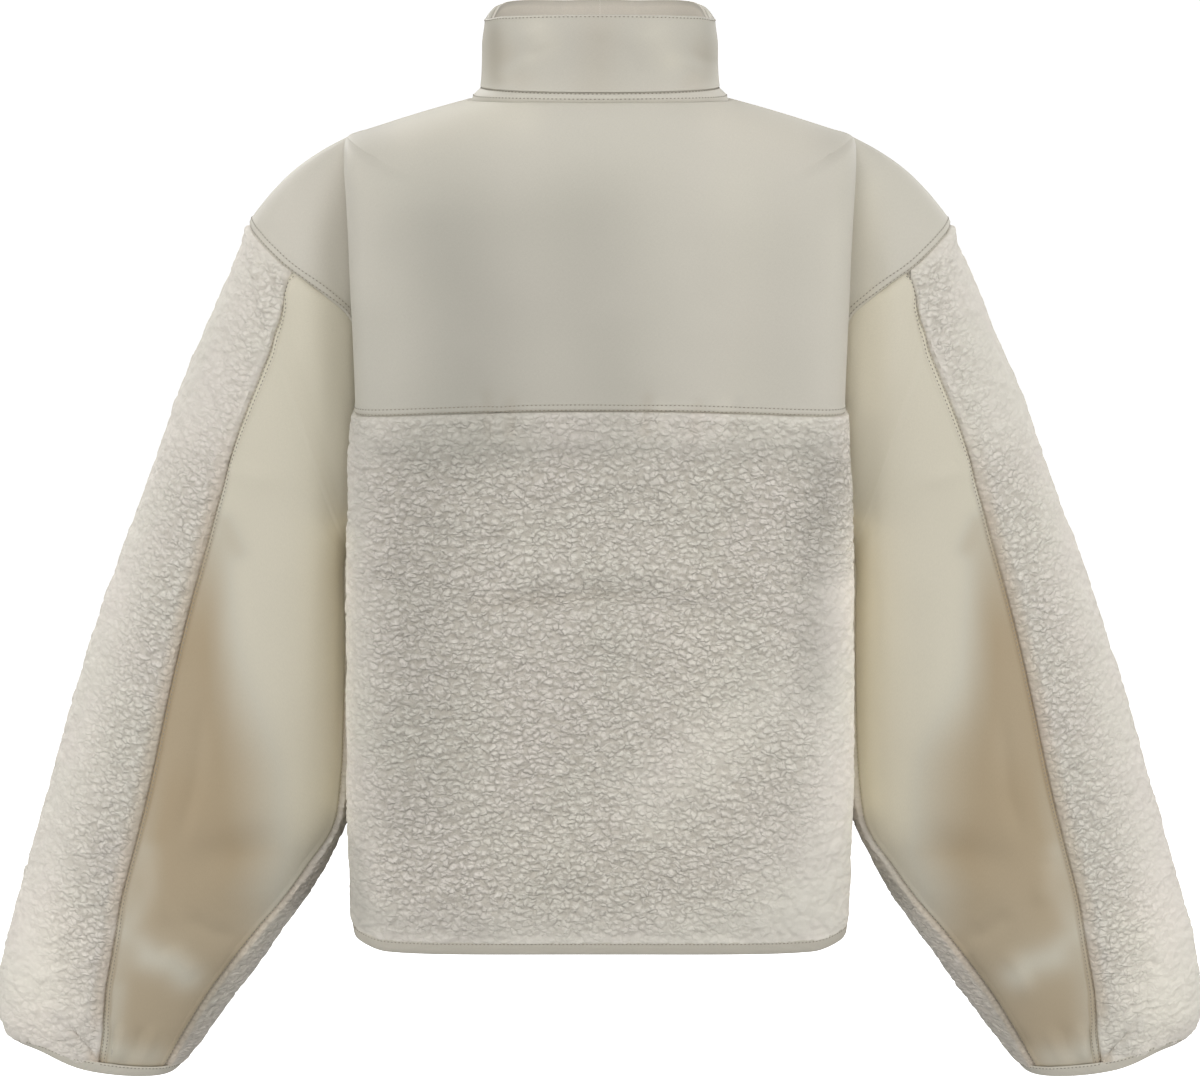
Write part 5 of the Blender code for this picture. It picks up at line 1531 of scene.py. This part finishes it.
class Paint:
    """One material: a Principled shader and the nodes that feed it."""

    def __init__(self, name, **constants):
        self.mat = bpy.data.materials.new(name)
        self.mat.use_nodes = True
        self.tree = self.mat.node_tree
        self.shader = self.tree.nodes["Principled BSDF"]
        for socket, value in constants.items():
            self.shader.inputs[socket.replace("_", " ")].default_value = value

    def node(self, kind, settings, sockets):
        """Node of one type with its settings, and its sockets linked or set."""
        node = self.tree.nodes.new(kind)
        for key, value in settings.items():
            if key == "stops":
                ramp = node.color_ramp.elements
                while len(ramp) < len(value):
                    ramp.new(0.5)
                for stop, (place, colour) in zip(ramp, value):
                    stop.position, stop.color = place, colour
            else:
                setattr(node, key, value)
        for key, value in sockets.items():
            if isinstance(value, Term):
                value = value.socket
            if isinstance(value, bpy.types.NodeSocket):
                self.tree.links.new(value, node.inputs[key])
            else:
                node.inputs[key].default_value = value
        return node

    def feed(self, socket, value):
        """Link a value to a socket of the shader."""
        self.tree.links.new(value.socket if isinstance(value, Term) else value, self.shader.inputs[socket])

    def mix(self, factor, first, second, blend="MIX"):
        """Colour between two colours."""
        node = self.node("ShaderNodeMix", {"data_type": "RGBA", "blend_type": blend},
                         {0: factor, 6: first, 7: second})
        return node.outputs[2]

    def place(self, source, scale):
        """Coordinates of the piece, in metres, stretched by a scale for each axis."""
        node = self.node("ShaderNodeTexCoord", {}, {})
        mapping = self.node("ShaderNodeMapping", {}, {"Vector": node.outputs[source], "Scale": scale})
        return mapping.outputs[0]

    def here(self):
        """Coordinates in the jacket's own frame, in metres."""
        return self.place("Object", (1.0, 1.0, 1.0))

    def noise(self, place, scale, detail=2.0, rough=0.5):
        """Soft noise from about 0 to 1."""
        node = self.node("ShaderNodeTexNoise", {}, {"Vector": place, "Scale": scale, "Detail": detail,
                                                    "Roughness": rough})
        return Term(self, node.outputs[0])

    def voronoi(self, place, feature, scale):
        """Distance in a flat field of cells."""
        node = self.node("ShaderNodeTexVoronoi", {"feature": feature, "voronoi_dimensions": "2D"},
                         {"Vector": place, "Scale": scale})
        return Term(self, node.outputs["Distance"])

    def painted_shade_and_light(self, tone, strength):
        """Colour with painted shade above 0 of the shade attribute, painted light below 0, and painted dim
        shade.
        """
        shade = self.mark("shade")
        painted_brown_shade = self.mix(1.0, tone, PAINTED_SHADE_TINT, "MULTIPLY")
        painted_light = self.mix(1.0, tone, PAINTED_LIGHT_TINT, "MULTIPLY")
        down = self.mix((shade * strength).clipped(), tone, painted_brown_shade)
        pale = self.mix((shade * (-strength)).clipped(), down, painted_light)
        painted_dim_colour = self.mix(1.0, pale, PAINTED_DIM_TINT, "MULTIPLY")
        return self.mix(self.mark("dim").clipped(), pale, painted_dim_colour)

    def mark(self, name):
        """Attribute of the mesh."""
        return Term(self, self.node("ShaderNodeAttribute", {"attribute_name": name}, {}).outputs["Fac"])

    def bump(self, height, distance, strength, below=None):
        """Normal raised by a height, over the normal below it where one is given."""
        sockets = {"Height": height, "Distance": distance, "Strength": strength}
        if below is not None:
            sockets["Normal"] = below
        return self.node("ShaderNodeBump", {}, sockets).outputs[0]


def pile_finish():
    """Curly pile: small domed curls, painted shade in the thin grooves between them, and fine matt fibres.

    The curls are Voronoi cells of the cloth coordinates bent by soft noise; a second, finer set
    marks the strands, and each curl has a painted highlight on its upper side. The relief attribute
    flattens them and fades their painted shade and highlight.
    """
    paint = Paint("curly_pile", Roughness=0.95, Specular_IOR_Level=0.12, Sheen_Weight=0.22,
                  Sheen_Roughness=0.6, Sheen_Tint=(1.0, 0.97, 0.93, 1.0))
    flat = paint.place("UV", (1000.0 / CURL_WIDE, 1000.0 / CURL_HIGH, 1.0))
    bend = paint.node("ShaderNodeTexNoise", {},
                      {"Vector": flat, "Scale": 0.62, "Detail": 2.0, "Roughness": 0.6})
    shift = paint.node("ShaderNodeVectorMath", {"operation": "MULTIPLY_ADD"},
                       {0: bend.outputs["Color"], 1: (2.1, 2.1, 0.0), 2: flat}).outputs[0]
    cell = paint.voronoi(shift, "F1", 1.0)
    edge = paint.voronoi(shift, "DISTANCE_TO_EDGE", 1.0)
    strand = paint.voronoi(shift, "F1", 2.7)
    join = paint.noise(flat, 0.41, 2.0, 0.5)
    here = paint.here()
    fibre = paint.noise(here, 1500.0, 2.0, 0.6)
    patch = paint.noise(here, 16.0, 2.0, 0.5)
    relief = paint.mark("relief")
    above = paint.node("ShaderNodeVectorMath", {"operation": "ADD"},
                       {0: shift, 1: (0.0, 0.26, 0.0)}).outputs[0]
    worm = 1.0 - cell.step(0.08, 0.72)
    lit = worm + paint.voronoi(above, "F1", 1.0).step(0.08, 0.72) - 1.0
    groove = (1.0 - edge.step(0.0, 0.2)) * join.step(0.34, 0.62)
    height = worm * 1.1 - groove * 0.12 - strand * 0.35 + fibre * 0.2
    tint = paint.mix(patch.step(0.3, 0.7), PILE_PALE, PILE_WARM)
    # painted shade between the curls' tops, in the grooves and strands, and a painted highlight on each
    # curl's upper side
    depth = ((1.0 - worm) * 0.42 + groove * 0.12 + strand * 0.25 - lit * 0.42) * relief
    tone = paint.mix(depth.step(-0.25, 0.95), tint, PILE_HOLLOW_SHADE)
    paint.feed("Base Color", paint.painted_shade_and_light(tone, 0.8))
    paint.feed("Normal", paint.bump(height * relief, 0.00125, 0.85))
    return paint.mat


def woven_finish(name, first, second, rough, size=1.0):
    """Close smooth cloth: crossed fine threads, a slow change of tone, soft unevenness, painted shade and
    painted light.
    """
    paint = Paint(name, Specular_IOR_Level=0.3, Sheen_Weight=0.1, Sheen_Roughness=0.45)
    weft = paint.noise(paint.place("UV", (500.0 * size, 2600.0 * size, 1.0)), 1.0, 1.0, 0.5)
    warp = paint.noise(paint.place("UV", (2600.0 * size, 500.0 * size, 1.0)), 1.0, 1.0, 0.5)
    here = paint.here()
    slow = paint.noise(here, 9.0, 2.0, 0.5)
    middle = paint.noise(here, 60.0, 2.0, 0.5)
    threads = (weft + warp) * 0.5
    tone = paint.mix(slow.step(0.25, 0.75), first, second)
    weave = paint.mix(threads.step(0.3, 0.7), (0.96, 0.96, 0.96, 1.0), (1.03, 1.03, 1.03, 1.0))
    tone = paint.mix(1.0, tone, weave, "MULTIPLY")
    seam = paint.mark("seam")
    # painted shade in the grooves along the rows of stitches
    stitch_groove_shade = (1.0 - (seam - 1.2).size().step(0.1, 0.75)) + (1.0 - (seam - 5.0).size().step(0.1, 0.75)) * 0.45
    tone = paint.mix(stitch_groove_shade * 0.32, tone, (0.36, 0.33, 0.27, 1.0))
    paint.feed("Base Color", paint.painted_shade_and_light(tone, 1.0))
    paint.feed("Roughness", (threads - 0.5) * 0.1 + (slow - 0.5) * 0.08 + rough)
    fine = paint.bump(threads, 0.0001, 0.4)
    paint.feed("Normal", paint.bump(middle, 0.0008, 0.22, fine))
    return paint.mat


def knit_finish(name, colour, dark, scale):
    """Knit back: small loops in rows, with painted shade between the loops."""
    paint = Paint(name, Roughness=0.9, Specular_IOR_Level=0.2, Sheen_Weight=0.15)
    place = paint.place("UV", (scale, scale * 1.4, 1.0))
    loops = paint.node("ShaderNodeTexVoronoi", {"feature": "SMOOTH_F1"},
                       {"Vector": place, "Scale": 1.0, "Randomness": 0.35, "Smoothness": 0.3})
    loop = Term(paint, loops.outputs["Distance"])
    slow = paint.noise(paint.here(), 30.0)
    tone = paint.mix((loop * 1.1 + (slow - 0.5) * 0.4).step(0.1, 0.9), colour, dark)
    paint.feed("Base Color", tone)
    paint.feed("Normal", paint.bump(1.0 - loop, 0.0004, 0.6))
    return paint.mat


def rib_finish(name, light, dark, pitch, along):
    """Ribbed tape: fine ribs over the cloth coordinates, rounded tops and painted shade in the gaps."""
    paint = Paint(name, Roughness=0.8, Specular_IOR_Level=0.25, Sheen_Weight=0.2)
    ribs = 1000.0 / pitch
    scale = (ribs, 60.0, 1.0) if along else (60.0, ribs, 1.0)
    wave = paint.node("ShaderNodeTexWave", {"wave_type": "BANDS", "bands_direction": "X" if along else "Y"},
                      {"Vector": paint.place("UV", scale), "Scale": 0.3183, "Distortion": 0.6,
                       "Detail": 1.0})
    rib = Term(paint, wave.outputs["Fac"])
    fuzz = paint.noise(paint.here(), 700.0, 2.0, 0.5)
    paint.feed("Base Color", paint.mix((rib * 0.75 + fuzz * 0.35).step(0.1, 0.9), dark, light))
    paint.feed("Normal", paint.bump(rib + fuzz * 0.3, 0.00025, 0.5))
    return paint.mat


def thread_finish():
    """Twisted thread, a little darker than the cloth."""
    paint = Paint("thread", Roughness=0.6, Specular_IOR_Level=0.3)
    twist = paint.noise(paint.here(), 2600.0, 1.0, 0.5)
    paint.feed("Base Color", paint.mix(twist, (0.27, 0.245, 0.20, 1.0), (0.34, 0.31, 0.255, 1.0)))
    return paint.mat


def metal_finish(name, colour, rough):
    """Satin metal with fine drawn lines and small worn patches."""
    paint = Paint(name, Metallic=1.0)
    lines = paint.noise(paint.place("Object", (3000.0, 300.0, 300.0)), 1.0, 2.0, 0.6)
    worn = paint.noise(paint.here(), 220.0, 3.0, 0.6)
    dull = tuple(0.8 * v for v in colour[:3]) + (1.0,)
    paint.feed("Base Color", paint.mix(worn.step(0.35, 0.7), colour, dull))
    paint.feed("Roughness", (lines - 0.5) * 0.2 + (worn - 0.5) * 0.15 + rough)
    paint.feed("Normal", paint.bump(lines, 0.00005, 0.4))
    return paint.mat


def tooth_finish():
    """Moulded teeth in the cloth's colour, softly glossy."""
    paint = Paint("moulded_teeth", Specular_IOR_Level=0.5)
    grain = paint.noise(paint.here(), 500.0, 2.0, 0.5)
    paint.feed("Base Color", paint.mix(grain, (0.50, 0.46, 0.38, 1.0), (0.56, 0.52, 0.44, 1.0)))
    paint.feed("Roughness", (grain - 0.5) * 0.15 + 0.42)
    return paint.mat


PILE = pile_finish()
SMOOTH_CLOTH = woven_finish("smooth_cloth", (0.578, 0.551, 0.474, 1.0), (0.593, 0.561, 0.488, 1.0), 0.62)
SLEEVE_CLOTH = woven_finish("sleeve_cloth", (0.598, 0.562, 0.458, 1.0), (0.610, 0.571, 0.470, 1.0), 0.62)
# the facing's colour is paler than the cloth's: painted light inside the collar
FACING = woven_finish("facing_cloth", (0.86, 0.80, 0.70, 1.0), (0.88, 0.82, 0.72, 1.0), 0.8)
KNIT_BACK = knit_finish("knit_back", (0.60, 0.56, 0.49, 1.0), (0.46, 0.42, 0.35, 1.0), 700.0)
# the hem's binding and the cuffs' tape are shaded and lit copies of one tape: the cuffs' is paler, painted
# light
BINDING = rib_finish("binding_tape", (0.535, 0.505, 0.430, 1.0), (0.465, 0.430, 0.362, 1.0), 0.9, False)
CUFF_TAPE = rib_finish("cuff_tape", (0.62, 0.585, 0.50, 1.0), (0.55, 0.515, 0.435, 1.0), 0.9, False)
TAPE = rib_finish("woven_zip_tape", (0.55, 0.51, 0.43, 1.0), (0.42, 0.385, 0.31, 1.0), 0.7, True)
THREAD = thread_finish()
METAL = metal_finish("satin_metal", (0.62, 0.60, 0.57, 1.0), 0.32)
TOOTH = tooth_finish()


def add_floor():
    """Wide pale floor far below the jacket, bright to the camera but not to the cloth."""
    paint = Paint("pale_floor", Roughness=0.9, Specular_IOR_Level=0.1,
                  Emission_Color=(1.0, 1.0, 1.0, 1.0), Emission_Strength=0.93)
    cloud = paint.noise(paint.here(), 0.4, 2.0, 0.5)
    paint.feed("Base Color", paint.mix(cloud, (0.90, 0.90, 0.90, 1.0), (0.92, 0.92, 0.92, 1.0)))
    mesh = bpy.data.meshes.new("floor")
    size, low = 60.0, -1.35
    mesh.from_pydata([(-size, -size, low), (size, -size, low), (size, size, low), (-size, size, low)], [],
                     [(0, 1, 2, 3)])
    mesh.materials.append(paint.mat)
    floor = bpy.data.objects.new("floor", mesh)
    floor.visible_diffuse = False
    floor.visible_glossy = False
    bpy.context.scene.collection.objects.link(floor)


JACKET_MIDDLE = (0.0, 0.0, -0.3)
# name, place, the point it faces (m), size (m) and power (W) of each soft square lamp
LAMPS = [
    ("top", (0.0, 0.7, 2.5), JACKET_MIDDLE, 2.6, 36.0),
    ("high_back", (0.2, 2.5, 2.2), (0.0, 0.0, -0.2), 1.6, 20.0),
    ("fill_camera", (-0.3, 3.6, 0.9), JACKET_MIDDLE, 2.4, 6.0),
    ("fill_left", (1.6, 3.0, 0.4), JACKET_MIDDLE, 1.6, 8.0),
    ("fill_right", (-1.9, 3.0, 0.3), JACKET_MIDDLE, 1.6, 13.0),
    ("side_left", (2.9, 0.5, -0.4), JACKET_MIDDLE, 1.8, 27.0),
    ("side_right", (-2.9, 0.5, -0.4), JACKET_MIDDLE, 1.8, 27.0),
    ("low_left", (1.9, 2.0, -1.25), (0.2, 0.0, -0.5), 1.4, 13.0),
    ("low_middle", (0.0, 2.6, -1.5), (0.0, 0.0, -0.5), 1.6, 9.0),
    ("low_right", (-1.9, 2.0, -1.25), (-0.2, 0.0, -0.5), 1.4, 15.0),
    ("front_key", (1.7, -2.6, 1.5), JACKET_MIDDLE, 1.6, 52.0),
    ("front_fill", (-2.0, -2.6, 0.8), JACKET_MIDDLE, 1.8, 32.0),
]


def add_lamp(name, place, aim, size, power):
    """Soft square lamp that faces a point."""
    data = bpy.data.lights.new(name, "AREA")
    data.shape = "SQUARE"
    data.size = size
    data.energy = power
    lamp = bpy.data.objects.new(name, data)
    lamp.location = place
    way = np.array(aim, float) - np.array(place, float)
    lamp.rotation_euler = (math.atan2(math.hypot(way[0], way[1]), -way[2]), 0.0,
                           math.atan2(way[1], way[0]) - math.pi / 2)
    bpy.context.scene.collection.objects.link(lamp)


def add_studio():
    """Pale world, every lamp, and plain display colours."""
    world = bpy.data.worlds.new("studio")
    world.use_nodes = True
    world.node_tree.nodes["Background"].inputs["Color"].default_value = (1.0, 1.0, 1.0, 1.0)
    world.node_tree.nodes["Background"].inputs["Strength"].default_value = 0.20
    bpy.context.scene.world = world
    for lamp in LAMPS:
        add_lamp(*lamp)
    scene = bpy.context.scene
    scene.view_settings.view_transform = "Standard"
    scene.view_settings.look = "None"
    scene.view_settings.exposure = 0.0


build_body()
sleeve_backs = build_sleeves()
yoke_patches = build_yoke()
bindings = build_bindings()
band_face, collar_face = build_neck()
build_zip()
build_stitching(yoke_patches, sleeve_backs, bindings, band_face, collar_face)

for node in ("zip_slider", "zip_pull"):
    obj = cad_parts[node]
    obj.data.materials.clear()
    obj.data.materials.append(METAL)

add_floor()
add_studio()
